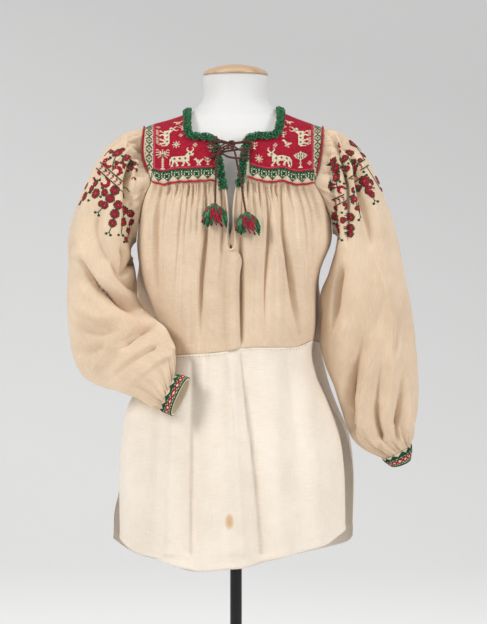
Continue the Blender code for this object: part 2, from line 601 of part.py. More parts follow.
def column_points(columns, tops, downs, behind=False, slit_side=0):
    """Points of gathered columns that hang from their tops to the waist seam."""
    downs = np.asarray(downs, float)
    grid = np.zeros((len(downs), len(columns), 3))
    for j, ((across, height), top) in enumerate(zip(columns, tops)):
        share = smooth(np.column_stack([(0, 0.28, 0.69, 1.0), across]), downs)
        order = j if slit_side > 0 else len(columns) - 1 - j
        if slit_side and order < SLIT_NEIGHBOURS:
            share = clear_of_slit(share, downs, order, slit_side)
        knots = (0, 0.08, 0.28, 0.69, 1.0)
        heights = np.concatenate([[height[0] * SEAM_FLATTENING], height])
        raised = smooth(np.column_stack([knots, heights]), downs)
        middle, half, _, _ = body_ring(352.0)
        foot = smooth(WAIST_SEAM, middle + share[-1] * half)
        row = top + (foot - top) * downs
        row = np.where(downs < 1e-6, top + SEAM_GAP / SQUARE, row)
        row = np.where(downs > 1 - 1e-6, foot - SEAM_GAP / SQUARE, row)
        grid[:, j] = body_point(share, row, behind, raised)
    return grid


def armhole_columns(edge, inner, side_sign):
    """Plain columns between the last gather and the side seam, and their tops."""
    edge = np.asarray(edge, float)[1:]
    tops = edge[:, 1]
    start = across_body(edge[:, 0], edge[:, 1])
    columns = []
    for k, share in enumerate(start):
        part = (k + 1) / len(start)
        lower = [side_sign * (1 - (1 - abs(inner[m])) * (1 - part) ** 1.6) for m in (1, 2, 3)]
        columns.append((np.array([share, *lower]), np.zeros(4)))
    return columns, tops


def front_upper():
    """Gathered upper front with its slit and the raised pleat below the slit."""
    slit = np.asarray(SLIT_AND_PLEAT, float)
    middle = [body_ring(level)[0] for level in FOLD_LEVELS]
    half = [body_ring(level)[1] for level in FOLD_LEVELS]
    at = (0.0, 0.28, 0.69, 1.0)
    left_edge = np.array([(smooth(slit[:, (0, 1)], a) - m) / h for a, m, h in zip(at, middle, half)])
    right_edge = np.array([(smooth(slit[:, (0, 2)], a) - m) / h for a, m, h in zip(at, middle, half)])
    corner_left = np.array([across_body(c, r) for c, r in zip((151.5, 143.0, 151.0, 160.2), FOLD_LEVELS)])
    corner_right = np.array([across_body(c, r) for c, r in zip((314.2, 327.0, 315.0, 311.6), FOLD_LEVELS)])
    left = fold_columns(FRONT_FOLDS_LEFT, left_edge, corner_left, FRONT_CRESTS)[::-1]
    right = fold_columns(FRONT_FOLDS_RIGHT, right_edge, corner_right, FRONT_CRESTS)
    side_left, tops_left = armhole_columns(ARMHOLE_FRONT_LEFT, corner_left, -1)
    side_right, tops_right = armhole_columns(ARMHOLE_FRONT_RIGHT, corner_right, 1)
    columns = side_left[::-1] + [(corner_left, np.zeros(4))] + left
    seam_tops = [smooth(YOKE_SEAM, m) for m in
                 [middle[0] + c[0][0] * half[0] for c in columns[len(side_left):]]]
    tops = list(tops_left[::-1]) + seam_tops
    points_left = column_points(columns, tops, FRONT_DOWN, slit_side=-1)
    columns = right + [(corner_right, np.zeros(4))] + side_right
    seam_tops = [smooth(YOKE_SEAM, m) for m in
                 [middle[0] + c[0][0] * half[0] for c in columns[:len(right) + 1]]]
    tops = seam_tops + list(tops_right)
    points_right = column_points(columns, tops, FRONT_DOWN, slit_side=1)
    points = np.concatenate([points_left, slit_points(), points_right], axis=1)
    gap_column = points_left.shape[1]
    missing = {(i, gap_column + k) for i in range(SLIT_END) for k in (0, 1)}
    cloth("front_upper", points, LINEN, left_out=missing)


def slit_points():
    """Three columns: the slit's edges, which run on as the edges of the pleat, and its crown."""
    grid = np.zeros((len(FRONT_DOWN), 3, 3))
    for i, down in enumerate(FRONT_DOWN):
        left, right = smooth(SLIT_AND_PLEAT, down)
        rise = smooth([(0, 0), (0.40, 0), (0.46, 0.8), (0.58, 1.0), (0.86, 0.9), (1.0, 0.45)], down)
        for k, (column, part) in enumerate(((left, 0.45), ((left + right) / 2, 1.0), (right, 0.85))):
            top = smooth(YOKE_SEAM, column)
            foot = smooth(WAIST_SEAM, column)
            row = top + (foot - top) * down
            row += SEAM_GAP / SQUARE if i == 0 else 0
            row -= SEAM_GAP / SQUARE if i == len(FRONT_DOWN) - 1 else 0
            grid[i, k] = body_point(across_body(column, row), row, raised=PLEAT_HEIGHT * rise * part)
    return grid


def back_upper():
    """Gathered upper back."""
    corner_left = np.array([across_body(c, r) for c, r in zip((149.0, 143.0, 151.0, 160.2), FOLD_LEVELS)])
    corner_right = np.array([across_body(c, r) for c, r in zip((316.6, 327.0, 315.0, 311.6), FOLD_LEVELS)])
    gathers = fold_columns(BACK_FOLDS, corner_left, corner_right, BACK_CRESTS)
    side_left, tops_left = armhole_columns(ARMHOLE_BACK_LEFT, corner_left, -1)
    side_right, tops_right = armhole_columns(ARMHOLE_BACK_RIGHT, corner_right, 1)
    columns = side_left[::-1] + [(corner_left, np.zeros(4))] + gathers
    columns += [(corner_right, np.zeros(4))] + side_right
    tops = list(tops_left[::-1]) + [BACK_YOKE_ROW] * (len(gathers) + 2) + list(tops_right)
    points = column_points(columns, tops, BACK_DOWN, behind=True)
    points = seam_side_gap(points)
    cloth("back_upper", points, LINEN, flip=True)


def seam_side_gap(points):
    """Moves a back panel's side edges behind the front's by the seam gap."""
    points = points.copy()
    points[:, (0, -1), 1] += WALL + SEAM_GAP
    return points


def soft_folds(column, row, folds):
    """Height of the soft folds of a lower panel."""
    height = np.zeros(np.shape(column))
    for top, waist, foot, rise, reach in folds:
        middle = smooth(list(zip(SKIRT_LEVELS, (top, waist, foot))), row)
        fade = np.clip((row - 345.0) / 60.0, 0.15, 1.0)
        height = height + rise * fade * np.exp(-((column - middle) / reach) ** 2)
    return height


def skirt_points(behind, columns, downs):
    """Points of a lower panel from the waist seam to the hem."""
    angle = np.linspace(-90, 90, columns) * math.pi / 180
    shares = np.sign(angle) * np.abs(np.sin(angle)) ** 0.9
    downs = np.asarray(downs)
    grid = np.zeros((len(downs), columns, 3))
    folds = SKIRT_FOLDS_BACK if behind else SKIRT_FOLDS_FRONT
    for j, share in enumerate(shares):
        middle, half, _, _ = body_ring(352.0)
        top = smooth(WAIST_SEAM, middle + share * half) + SEAM_GAP / SQUARE
        middle, half, _, _ = body_ring(540.0)
        foot = smooth(HEM, middle + share * half)
        row = top + (foot - top) * downs
        middle, half, _, _ = body_ring(row)
        column = middle + share * half
        if behind:
            flare = smooth(BACK_PANEL_FLARE_LEFT if share < 0 else BACK_PANEL_FLARE_RIGHT, row)
            weight = np.abs(share) ** 6
        edge = (1 - np.abs(share) ** 8)
        points = body_point(share * np.ones_like(row), row, behind, soft_folds(column, row, folds) * edge)
        if behind:
            points[:, 0] += flare * weight * SQUARE
            points[:, 1] += weight * np.abs(flare) * SQUARE * 0.5
        grid[:, j] = points
    return grid


def skirts():
    """Plain lower front and lower back, open at the side slits."""
    cloth("front_lower", skirt_points(False, 33, np.linspace(0, 1, 8)), PALE_LINEN)
    back = seam_side_gap(skirt_points(True, 29, np.linspace(0, 1, 7)))
    cloth("back_lower", back, PALE_LINEN, flip=True)


def yoke_front(side):
    """Front strip and shoulder strap in one L-shaped piece."""
    left = side == "left"
    inner = STRAP_INNER_LEFT if left else STRAP_INNER_RIGHT
    outer_table = YOKE_OUTER_LEFT if left else YOKE_OUTER_RIGHT
    slit_top, slit_low = SLIT_AT_STRIP_LEFT if left else SLIT_AT_STRIP_RIGHT
    shares = [0.0, 0.04, 0.14, STRIP_TOP, 0.56, 0.78, 1.0]
    parts = np.linspace(0, 1, 8)
    strip_parts = np.linspace(0, 1, 6)[1:]
    grid = []
    for share in shares:
        outer = smooth(outer_table, share)
        columns = list(outer + (inner - outer) * parts)
        down = np.clip((share - STRIP_TOP) / (1 - STRIP_TOP), 0, 1)
        edge = slit_top + (slit_low - slit_top) * down
        columns += list(inner + (edge - inner) * strip_parts)
        grid.append(yoke_point(np.array(columns), share))
    points = np.array(grid)
    missing = {(i, j) for i in range(3) for j in range(7, 12)}
    points[0] += (0, -SEAM_GAP / 2, 0)
    points[-1] += (0, 0, SEAM_GAP / 2)
    cloth(f"yoke_front_{side}", points, CRIMSON, flip=not left, left_out=missing)


def yoke_back():
    """Back strip with the back halves of both shoulder straps."""
    shares = [0.0, 0.03, 0.10, BACK_STRIP_TOP, 0.50, 0.75, 1.0]
    parts = np.linspace(0, 1, 6)
    middle_parts = np.linspace(0, 1, 8)[1:-1]
    grid = []
    for share in shares:
        left = back_outer("left", share)
        right = back_outer("right", share)
        columns = list(left + (STRAP_INNER_LEFT - left) * parts)
        columns += list(STRAP_INNER_LEFT + (STRAP_INNER_RIGHT - STRAP_INNER_LEFT) * middle_parts)
        columns += list(STRAP_INNER_RIGHT + (right - STRAP_INNER_RIGHT) * parts)
        grid.append(yoke_point(np.array(columns), share, behind=True))
    points = np.array(grid)
    points[0] += (0, SEAM_GAP / 2, 0)
    points[-1] += (0, 0, SEAM_GAP / 2)
    missing = {(i, j) for i in range(3) for j in range(5, 12)}
    cloth("yoke_back", points, CRIMSON, flip=True, left_out=missing)


def sleeve_sections(table, angles):
    """Points of the sleeve's sections round the given angles: 0 outside, 90 in front."""
    rows = np.asarray(table, float)
    cosine = np.sign(np.cos(angles)) * np.abs(np.cos(angles)) ** (2 / SLEEVE_POWER)
    sine = np.sign(np.sin(angles)) * np.abs(np.sin(angles)) ** (2 / SLEEVE_POWER)
    middle = (rows[:, 0:2] + rows[:, 2:4]) / 2
    reach = (rows[:, 0:2] - rows[:, 2:4]) / 2
    run = np.gradient(middle, axis=0)
    run /= np.linalg.norm(run, axis=1, keepdims=True)
    sheet = middle[:, None] + reach[:, None] * cosine[None, :, None]
    sheet = sheet + run[:, None] * rows[:, 6, None, None] * sine[None, :, None]
    depth = rows[:, 4, None] - rows[:, 5, None] * sine[None, :]
    return place(sheet[..., 0], sheet[..., 1], depth)


def armhole_ring(side, angles):
    """Ring of armhole points at the sleeve's angles, moved out by the seam gap."""
    turn = np.degrees(angles) % 360
    ring = np.zeros((len(angles), 3))
    out = np.array([-1.0 if side == "left" else 1.0, 0, 0])
    for k, t in enumerate(turn):
        behind = t > 180
        share = (360 - t) / 180 if behind else t / 180
        ring[k] = armhole(side, share, behind) + out * ARMHOLE_GAP
        ring[k, 2] += ARMHOLE_GAP * share ** 3
    return ring


def crease_height(points, creases, centre_depth):
    """Height of the large creases at points of a sleeve, on the side that each one marks."""
    scale = SQUARE * (1 + points[..., 1] / EYE_DISTANCE)
    column = points[..., 0] / scale + CENTRE_COLUMN
    row = EYE_ROW - (points[..., 2] - EYE_HEIGHT) / scale
    height = np.zeros(points.shape[:-1])
    for line, rise, reach, side in creases:
        path = along(line, np.linspace(0, 1, 25))
        apart = np.hypot(column[..., None] - path[:, 0], row[..., None] - path[:, 1])
        nearest = apart.min(axis=-1)
        facing = np.clip((centre_depth - points[..., 1]) * side / 0.02, 0, 1)
        height += rise * np.exp(-(nearest / reach) ** 2) * facing
    return height


def sleeve(side, table, cuff_rows, creases):
    """Full sleeve, gathered into the armhole and into its wrist band."""
    angles = np.arange(SLEEVE_COLUMNS) * 2 * math.pi / SLEEVE_COLUMNS
    points = np.concatenate([armhole_ring(side, angles)[None], sleeve_sections(table, angles)])
    count = len(points)
    centre = points.mean(axis=1, keepdims=True)
    around = np.roll(points, -1, axis=1) - np.roll(points, 1, axis=1)
    lengthwise = np.gradient(points, axis=0)
    normal = np.cross(lengthwise, around)
    normal /= np.linalg.norm(normal, axis=-1, keepdims=True)
    inwards = ((points - centre) * normal).sum(axis=-1, keepdims=True) < 0
    normal = np.where(inwards, -normal, normal)
    section = np.arange(count)
    head = smooth([(0, 0.12), (1, 0.9), (3, 1.0), (5, 0.45), (7, 0.15), (count, 0)], section)
    wrist = smooth([(0, 0), (count - 7, 0.0), (count - 4, 0.9), (count - 2, 1.0), (count - 1, 0.25)], section)
    alternate = np.where(np.arange(SLEEVE_COLUMNS) % 2 == 0, 1.0, -1.0)
    uneven = 0.75 + 0.25 * np.sin(np.arange(SLEEVE_COLUMNS) * 2.3)
    upper = np.clip(0.35 + np.cos(angles), 0, 1)
    height = HEAD_GATHER * head[:, None] * (alternate * uneven * upper)[None]
    height += WRIST_GATHER * wrist[:, None] * (alternate * uneven)[None]
    fade = smooth([(0, 0), (2, 1), (count - 3, 1), (count - 1, 0)], section)
    height += crease_height(points, creases, centre[..., 1]) * fade[:, None]
    points = points + normal * height[..., None]
    flip = side == "right"
    cloth(f"sleeve_{side}", points, LINEN, wrap=True, flip=flip)
    angles = np.arange(CUFF_COLUMNS) * 2 * math.pi / CUFF_COLUMNS
    band = sleeve_sections(cuff_rows, angles)
    run = band[1].mean(axis=0) - band[0].mean(axis=0)
    band[0] += run / np.linalg.norm(run) * 2 * SEAM_GAP
    cloth(f"cuff_{side}", band, GREEN, wall=BAND_WALL, wrap=True, flip=flip)


def piping():
    """Red cord on the yoke's seams and round the top of each armhole."""
    lift = PIPING_RADIUS + 0.0008
    for side, first, last in (("left", 153.5, 215.5), ("right", 247.5, 312.5)):
        columns = np.linspace(first, last, 12)
        rows = smooth(YOKE_SEAM, columns)
        points = body_point(across_body(columns, rows), rows, raised=lift * np.ones_like(rows))
        cord(f"piping_front_{side}", points, PIPING_RADIUS, CRIMSON)
    columns = np.linspace(152.5, 313.5, 20)
    rows = np.full_like(columns, BACK_YOKE_ROW)
    points = body_point(across_body(columns, rows), rows, True, lift * np.ones_like(rows))
    cord("piping_back", points, PIPING_RADIUS, CRIMSON)
    for side, outer in (("left", YOKE_OUTER_LEFT), ("right", YOKE_OUTER_RIGHT)):
        inset = 1.4 if side == "left" else -1.4
        front = np.array([0.80, 0.62, 0.45, 0.30, 0.18, 0.09, 0.03])
        line = [yoke_point(smooth(outer, s) + inset, s, raised=lift) for s in front]
        back = (0.03, 0.09, 0.2, 0.35, 0.5, 0.66, 0.84)
        line += [yoke_point(back_outer(side, s) + inset, s, True, lift) for s in back]
        cord(f"piping_armhole_{side}", line, PIPING_RADIUS, CRIMSON)


def edging():
    """Flat green wool edging over the neck edge and the slit's edges."""
    lift = EDGING_HALF_THICKNESS + 0.0006
    line = []
    normals = []

    def add(column, share, behind):
        low = yoke_point(column, share, behind)
        high = yoke_point(column, share, behind, 0.001)
        normal = (high - low) / np.linalg.norm(high - low)
        line.append(low + normal * lift)
        normals.append(normal)

    def add_front(places):
        for column, row in places:
            ridge, seam = shoulder_row(column), smooth(YOKE_SEAM, column)
            share = (row - ridge) / (seam - ridge)
            if share <= 1:
                add(column, share, False)
            else:
                across = across_body(column, row)
                normal = body_point(across, row, raised=1.0) - body_point(across, row)
                line.append(body_point(across, row, raised=lift + 0.0012))
                normals.append(normal)

    add_front(EDGING_FRONT_LEFT)
    add(188.3, 0.02, False)
    for share, inset in EDGING_BACK_ROWS:
        add(188.3 + inset, share, True)
    for column in np.linspace(204, 266, 6):
        add(column, 0.295, True)
    for share, inset in EDGING_BACK_ROWS[::-1]:
        add(279.4 - inset, share, True)
    add(279.8, 0.02, False)
    add_front(EDGING_FRONT_RIGHT[::-1])
    line, normals = np.array(line), np.array(normals)
    steps = np.concatenate([[0], np.cumsum(np.linalg.norm(np.diff(line, axis=0), axis=1))])
    shares = np.linspace(0, 1, 61)
    path = smooth(np.column_stack([steps / steps[-1], line]), shares)
    up = smooth(np.column_stack([steps / steps[-1], normals]), shares)
    run = np.gradient(path, axis=0)
    run /= np.linalg.norm(run, axis=1, keepdims=True)
    sideways = np.cross(up, run)
    sideways /= np.linalg.norm(sideways, axis=1, keepdims=True)
    up = np.cross(run, sideways)
    turns = np.arange(6) * math.pi / 3
    rings = path[:, None] + sideways[:, None] * (EDGING_HALF_WIDTH * np.cos(turns))[None, :, None]
    rings = rings + up[:, None] * (EDGING_HALF_THICKNESS * np.sin(turns))[None, :, None]
    closed_loft("neck_edging", rings, GREEN)


def closed_loft(name, rings, colour, roughness=0.85, metallic=0.0):
    """Solid through closed sections of equal counts, with flat ends."""
    data = grid_mesh(name, rings, wrap=True)
    solid = bmesh.new()
    solid.from_mesh(data)
    bmesh.ops.holes_fill(solid, edges=[e for e in solid.edges if e.is_boundary], sides=0)
    bmesh.ops.recalc_face_normals(solid, faces=solid.faces)
    solid.to_mesh(data)
    solid.free()
    data.shade_smooth()
    return add_object(name, data, colour, roughness, metallic)


def ellipsoid(name, centre, radii, colour, segments=10, rings=7):
    data = bpy.data.meshes.new(name)
    ball = bmesh.new()
    bmesh.ops.create_uvsphere(ball, u_segments=segments, v_segments=rings, radius=1.0)
    for vertex in ball.verts:
        vertex.co = [c + r * v for c, r, v in zip(centre, radii, vertex.co)]
    ball.to_mesh(data)
    ball.free()
    data.shade_smooth()
    return add_object(name, data, colour)


def front_surface(column, row, lift):
    """Point a given depth in front of the yoke or of the gathered front, at its sheet place."""
    seam = smooth(YOKE_SEAM, column)
    if row <= seam:
        ridge = shoulder_row(column)
        depth = yoke_base(column, (row - ridge) / (seam - ridge), False)[1]
    else:
        depth = body_point(across_body(column, row), row)[1]
    return place(column, row, depth - lift)


def lacing():
    """Lace across the slit, its knot and its two free ends."""
    knot = front_surface(*LACE_KNOT, LACE_HEIGHT)
    ellipsoid("lace_knot", knot, LACE_KNOT_RADII, CRIMSON)
    for name, stations in LACES.items():
        points = [front_surface(*station) for station in stations]
        cord(name, points, LACE_RADIUS, CRIMSON)


def lock(start, heading, length, droop, thickness):
    """Sections of one three-sided lock of wool."""
    heading = heading / np.linalg.norm(heading)
    side = np.cross(heading, (0.3, 1.0, 0.2))
    side /= np.linalg.norm(side)
    over = np.cross(heading, side)
    rings = []
    for share, width in ((0.0, 0.5), (0.55, 1.1), (1.0, 0.7)):
        middle = start + heading * length * share - np.array([0, 0, droop * share ** 2])
        turns = np.arange(3) * 2 * math.pi / 3
        ring = middle + thickness * width * (np.outer(np.cos(turns), side) + np.outer(np.sin(turns), over))
        rings.append(ring)
    return np.array(rings)


def tassel(name, head, wool, half_width, half_height, half_depth):
    """Round wool tassel: locks that part from one small head."""
    front = front_surface(wool[0], wool[1], TASSEL_DEPTH)
    depth = front[1]
    top = place(head[0], head[1], depth)
    middle = place(wool[0], wool[1], depth)
    reach = np.array([half_width, half_depth, half_height]) * SQUARE
    crown = top - np.array([0, 0, TASSEL_HEAD_RADIUS])
    verts, faces = [], []
    for k in range(TASSEL_LOCKS):
        down = (k + 0.5) / TASSEL_LOCKS
        tilt = math.acos(1 - 1.62 * down)
        turn = k * TASSEL_TURN
        spread = np.array([math.sin(tilt) * math.cos(turn), math.sin(tilt) * math.sin(turn), -math.cos(tilt)])
        tip = middle + spread * reach
        start = crown + spread * TASSEL_HEAD_RADIUS * 0.6
        heading = tip - start
        length = max(0.006, np.linalg.norm(tip - start) - 0.002)
        rings = lock(start, heading, length, 0.0015, LOCK_RADIUS)
        base = len(verts)
        verts += [tuple(p) for p in rings.reshape(-1, 3)]
        for i in range(2):
            for j in range(3):
                m = (j + 1) % 3
                faces.append((base + i * 3 + j, base + i * 3 + m, base + i * 3 + 3 + m, base + i * 3 + 3 + j))
        faces.append((base, base + 2, base + 1))
        faces.append((base + 6, base + 7, base + 8))
    data = bpy.data.meshes.new(name)
    data.from_pydata(verts, [], faces)
    locks = bmesh.new()
    locks.from_mesh(data)
    bmesh.ops.recalc_face_normals(locks, faces=locks.faces)
    locks.to_mesh(data)
    locks.free()
    made = add_object(name, data, GREEN)
    ball = ellipsoid(name + "_head_form", crown, (TASSEL_HEAD_RADIUS,) * 3, CRIMSON)
    collection.objects.unlink(ball)
    cutters.objects.link(ball)
    ball.hide_render = True
    ball.display_type = "WIRE"
    join = made.modifiers.new("head", "BOOLEAN")
    join.operation = "UNION"
    join.object = ball
    join.use_self = True


def dress_form():
    """Smooth limbless torso with its neck."""
    rows = np.asarray(FORM_ROWS, float)
    angles = np.arange(FORM_COLUMNS) * 2 * math.pi / FORM_COLUMNS
    rings = []
    for row, middle, half, front, back, power in rows:
        cosine = np.sign(np.cos(angles)) * np.abs(np.cos(angles)) ** (2 / power)
        sine = np.sign(np.sin(angles)) * np.abs(np.sin(angles)) ** (2 / power)
        depth = np.where(sine > 0, back, front) * sine
        across = (middle - CENTRE_COLUMN + half * cosine) * SQUARE
        height = EYE_HEIGHT + (EYE_ROW - row) * SQUARE
        rings.append(np.column_stack([across, depth, np.full(FORM_COLUMNS, height)]))
    closed_loft("form_torso", np.array(rings), (0.86, 0.86, 0.84), 0.6)


def turned(name, profile, colour, roughness, metallic=0.0, centre=(0.0, 0.0), steps=26):
    """Turned piece: profile of radius and height from the top down its outer side."""
    data = bpy.data.meshes.new(name)
    verts = [(radius, 0.0, height) for radius, height in profile]
    data.from_pydata(verts, [(k, k + 1) for k in range(len(verts) - 1)], [])
    made = add_object(name, data, colour, roughness, metallic)
    made.location = (centre[0], centre[1], 0.0)
    screw = made.modifiers.new("turn", "SCREW")
    screw.steps = steps
    screw.render_steps = steps
    screw.use_merge_vertices = True
    screw.merge_threshold = 0.0001
    screw.use_smooth_shade = True
    return made


def sheet_height(row):
    return EYE_HEIGHT + (EYE_ROW - row) * SQUARE


def stand():
    """Wooden neck cap, pole and round base."""
    low = sheet_height(FORM_ROWS[0][0]) + STAND_GAP
    high = sheet_height(64.4)
    rim = NECK_CAP_RADIUS
    dome = [(0.0, high)]
    for turn in np.radians((25, 50, 75)):
        dome.append((rim * 0.97 * math.sin(turn), low + 0.0085 + (high - low - 0.0085) * math.cos(turn)))
    profile = dome + [(rim, low + 0.0075), (rim, low + 0.0018), (rim - 0.0018, low), (0.0, low)]
    cap_centre = ((235.5 - CENTRE_COLUMN) * SQUARE, 0.002)
    turned("neck_cap", profile, (0.62, 0.43, 0.26), 0.45, centre=cap_centre)
    foot = sheet_height(FORM_ROWS[-1][0]) - STAND_GAP
    pole = [(0.0, foot), (0.032, foot), (0.032, foot - 0.004), (POLE_RADIUS, foot - 0.010),
            (POLE_RADIUS, BASE_THICKNESS + 0.016), (0.024, BASE_THICKNESS + 0.012),
            (0.024, BASE_THICKNESS + STAND_GAP), (0.0, BASE_THICKNESS + STAND_GAP)]
    turned("pole", pole, (0.02, 0.02, 0.022), 0.35, 0.6, steps=16)
    plate = [(0.0, BASE_THICKNESS), (BASE_RADIUS - 0.004, BASE_THICKNESS), (BASE_RADIUS, BASE_THICKNESS - 0.003),
             (BASE_RADIUS, 0.0), (0.0, 0.0)]
    turned("base", plate, (0.02, 0.02, 0.022), 0.4, 0.5, steps=40)


for old in list(bpy.data.objects):
    bpy.data.objects.remove(old)
collection = bpy.data.collections.new("blouse_on_dress_form")
bpy.context.scene.collection.children.link(collection)
cutters = bpy.data.collections.new("cutters")
bpy.context.scene.collection.children.link(cutters)

front_upper()
back_upper()
skirts()
yoke_front("left")
yoke_front("right")
yoke_back()
sleeve("left", SLEEVE_LEFT, CUFF_LEFT, SLEEVE_CREASES_LEFT)
sleeve("right", SLEEVE_RIGHT, CUFF_RIGHT, SLEEVE_CREASES_RIGHT)
piping()
edging()
lacing()
for tassel_name, sizes in TASSELS.items():
    tassel(tassel_name, *sizes)
dress_form()
stand()
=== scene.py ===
"""Gathered linen blouse with a cross-stitched yoke and worked sleeves, on a limbless dress form.

Every soft piece is a thin shell on the form of its solid. The front view is drawn on a sheet of
squares, SQUARE metres each on the centre plane: sheet columns count to the viewer's right and
sheet rows count downwards. Left and right are the viewer's. Threads, wool and cords are meshes.
Lengths are in metres unless a table says squares, and the tables' angles are in degrees.
"""

import math

import bmesh
import bpy
import numpy as np
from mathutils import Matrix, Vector
from mathutils.bvhtree import BVHTree


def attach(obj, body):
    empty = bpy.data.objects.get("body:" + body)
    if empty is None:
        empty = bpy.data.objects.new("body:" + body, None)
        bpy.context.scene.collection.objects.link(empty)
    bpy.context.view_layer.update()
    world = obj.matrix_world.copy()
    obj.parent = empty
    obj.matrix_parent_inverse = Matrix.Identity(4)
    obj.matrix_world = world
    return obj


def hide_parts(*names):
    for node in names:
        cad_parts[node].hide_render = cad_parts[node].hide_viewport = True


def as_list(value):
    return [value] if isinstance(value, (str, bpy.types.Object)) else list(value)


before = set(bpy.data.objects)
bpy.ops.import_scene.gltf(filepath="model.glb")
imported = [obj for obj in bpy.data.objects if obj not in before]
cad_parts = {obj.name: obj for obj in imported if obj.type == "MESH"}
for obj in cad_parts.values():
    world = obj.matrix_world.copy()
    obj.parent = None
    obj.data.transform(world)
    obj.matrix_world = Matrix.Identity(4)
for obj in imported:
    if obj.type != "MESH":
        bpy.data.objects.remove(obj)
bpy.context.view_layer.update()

# Fine cloth: thickness of the shells, puffs, hem, pleats, creases, stain and weave
CLOTH = 0.0009
PUFF = 0.0030
PUFF_ROW = 200
PUFF_REACH = 22.0
CENTRE_PLEAT = 0.0060
# Down the upper front: where the slit ends, and the share of its height that the centre pleat has
SLIT_FOOT = 0.40
PLEAT_RISE = [(0, 0), (SLIT_FOOT, 0), (0.46, 0.8), (0.58, 1.0), (0.86, 0.9), (1.0, 0.45)]
HEM_STEP = 0.0009
HEM_DEPTH = 0.009
HEM_STITCHES = 92
WAIST_STITCHES = 46
HEM_STITCH_RADII = (0.0002, 0.0004, 0.0002)
WAIST_STITCH_RADII = (0.0003, 0.0007, 0.0003)
STITCH_FLATTEST = 0.004
HEAD_PLEATS = 44
FOLD_CENTRE = 232.0
WRIST_PUFF = 0.0028
HEAD_PLEAT_DEPTH = (0.0018, 0.0070)
WRIST_PLEAT_DEPTH = (0.0020, 0.0075)
WRIST_PLEATS = 26
CREASING = 2.3
CREASE_POWER = 1.35
CREASE_TURN = 0.014
# Rows beyond which a crease's end lies in gathers; for the left band its column and two rows
CREASE_ROOTS = {"armhole": 168, "right_band": 415, "left_band": (154, 330, 372)}
FOLD_SCALE = 0.0015
CRUMPLES = {"upper": 0.0005, "skirt": 0.0007, "sleeve": 0.0009}
STEEP_SIDE = 0.5
STAIN_PLACE = (-0.011, 0.355)
STAIN_SIZE = (0.0080, 0.0135)
STAIN_COLOUR = (0.62, 0.34, 0.10)
WEAVE_PITCH = 0.00065

# Thread work: cell of the cross-stitch in squares, heights over the cloth, thread keys and colours
CELL = 0.9
# Yoke's stitches: column of the field's outer edge, way it runs, shifts of the two borders
YOKE_FIELD = {"left": (153.4, 1, 0, 3), "right": (313.4, -1, 4, 8)}
BACK_FIELD_COLUMN = 151.5
# Cells of the charts: wide, tall, upright border, hanging border
FRONT_CELLS = (71, 112, 10, 14)
BACK_CELLS = (182, 96, 11)
STITCH_RIM = 0.0005
STITCH_TOP = 0.0014
SATIN_HEIGHT = 0.0011
PETALS = 5
# Satin work: least share facing the needle, greatest depth of a pad, longest gap in a stem
WORK_FACING = 0.16
PAD_DEEPEST = 0.012
STEM_GAP = 0.009
# Each petal's parts: thread, degrees beside it, distance from the eye, half length, half width, height
FLOWER_PARTS = [
    ("dark", 0, 0.56, 0.54, 0.47, 0.0005),
    ("crimson", 0, 0.56, 0.42, 0.36, SATIN_HEIGHT),
    ("dark", 180 / PETALS, 0.86, 0.20, 0.15, SATIN_HEIGHT),
]
# Cells round and along a wrist band, and the smallest and largest stitch that is sewn
BAND_CELLS = (96, 17)
STITCH_SMALLEST = 0.0004
STITCH_LARGEST = 0.006
THREADS = {"c": "crimson", "l": "rose", "w": "cream", "g": "green", "d": "dark_green"}
SATIN = {"crimson": "deep", "rose": "rose", "dark": "dark_green", "green": "green"}

SIDES = ("left", "right")
# Turn from one strand or unevenness to the next, in radians, and a direction that no line follows
GOLDEN_TURN = 2.399963
OFF_AXIS = (0.31, 0.87, 0.38)
SMALLEST = 1e-9

# Sheet of squares, and the eye that sees it
SQUARE = 0.0017
CENTRE_COLUMN = 236.0
EYE_ROW = 312.0
EYE_HEIGHT = 0.6986
EYE_DISTANCE = 4.0
VIEW_SQUARES = (487, 624)

# Solids of the cloth: walls, gaps and how square their sections are
WALL = 0.0013
BAND_WALL = 0.0020
SEAM_GAP = 0.0005
ARMHOLE_GAP = 0.0013
BODY_POWER = 2.5
YOKE_POWER = 2.4
SLEEVE_POWER = 2.3

# Trim: radii, half sizes and lifts over the cloth
PIPING_RADIUS = 0.0015
LACE_RADIUS = 0.0013
TRIM_LIFT = 0.0006
EDGING_HALF_WIDTH = 0.0058
EDGING_COLUMNS = (188.3, 279.8, 279.4)
EDGING_AT_RIDGE = 0.02
EDGING_HALF_THICKNESS = 0.0025
LOOP_HEIGHT = (0.0012, 0.0036)
LOOP_WIDTH = (0.0012, 0.0028)
LOOP_RADIUS = (0.0006, 0.0010)
# Columns between which the red cord runs on the yoke's seams, and how far in it lies at the armholes
CORD_RUNS = {"left": (153.5, 215.5), "right": (247.5, 312.5), "back": (152.5, 313.5)}
CORD_INSETS = {"left": 1.2, "right": -1.2}
# Rolled hem down one edge of the slit, round its foot and up the other
SLIT_HEM = [
    (224.6, 186.0), (226.6, 200.0), (227.6, 214.0), (227.6, 228.0), (226.4, 240.0), (227.0, 246.4),
    (230.2, 250.0), (234.0, 247.6), (235.4, 240.0), (234.0, 228.0), (233.4, 214.0), (234.4, 200.0),
    (236.8, 186.0),
]
SLIT_HEM_LIFT = 0.0034
SLIT_HEM_RADIUS = 0.0019

# Stand, the cap's top as a sheet row
NECK_CAP_RADIUS = 0.0553
NECK_CAP_TOP = 64.4
POLE_RADIUS = 0.0100
BASE_RADIUS = 0.165
BASE_THICKNESS = 0.012
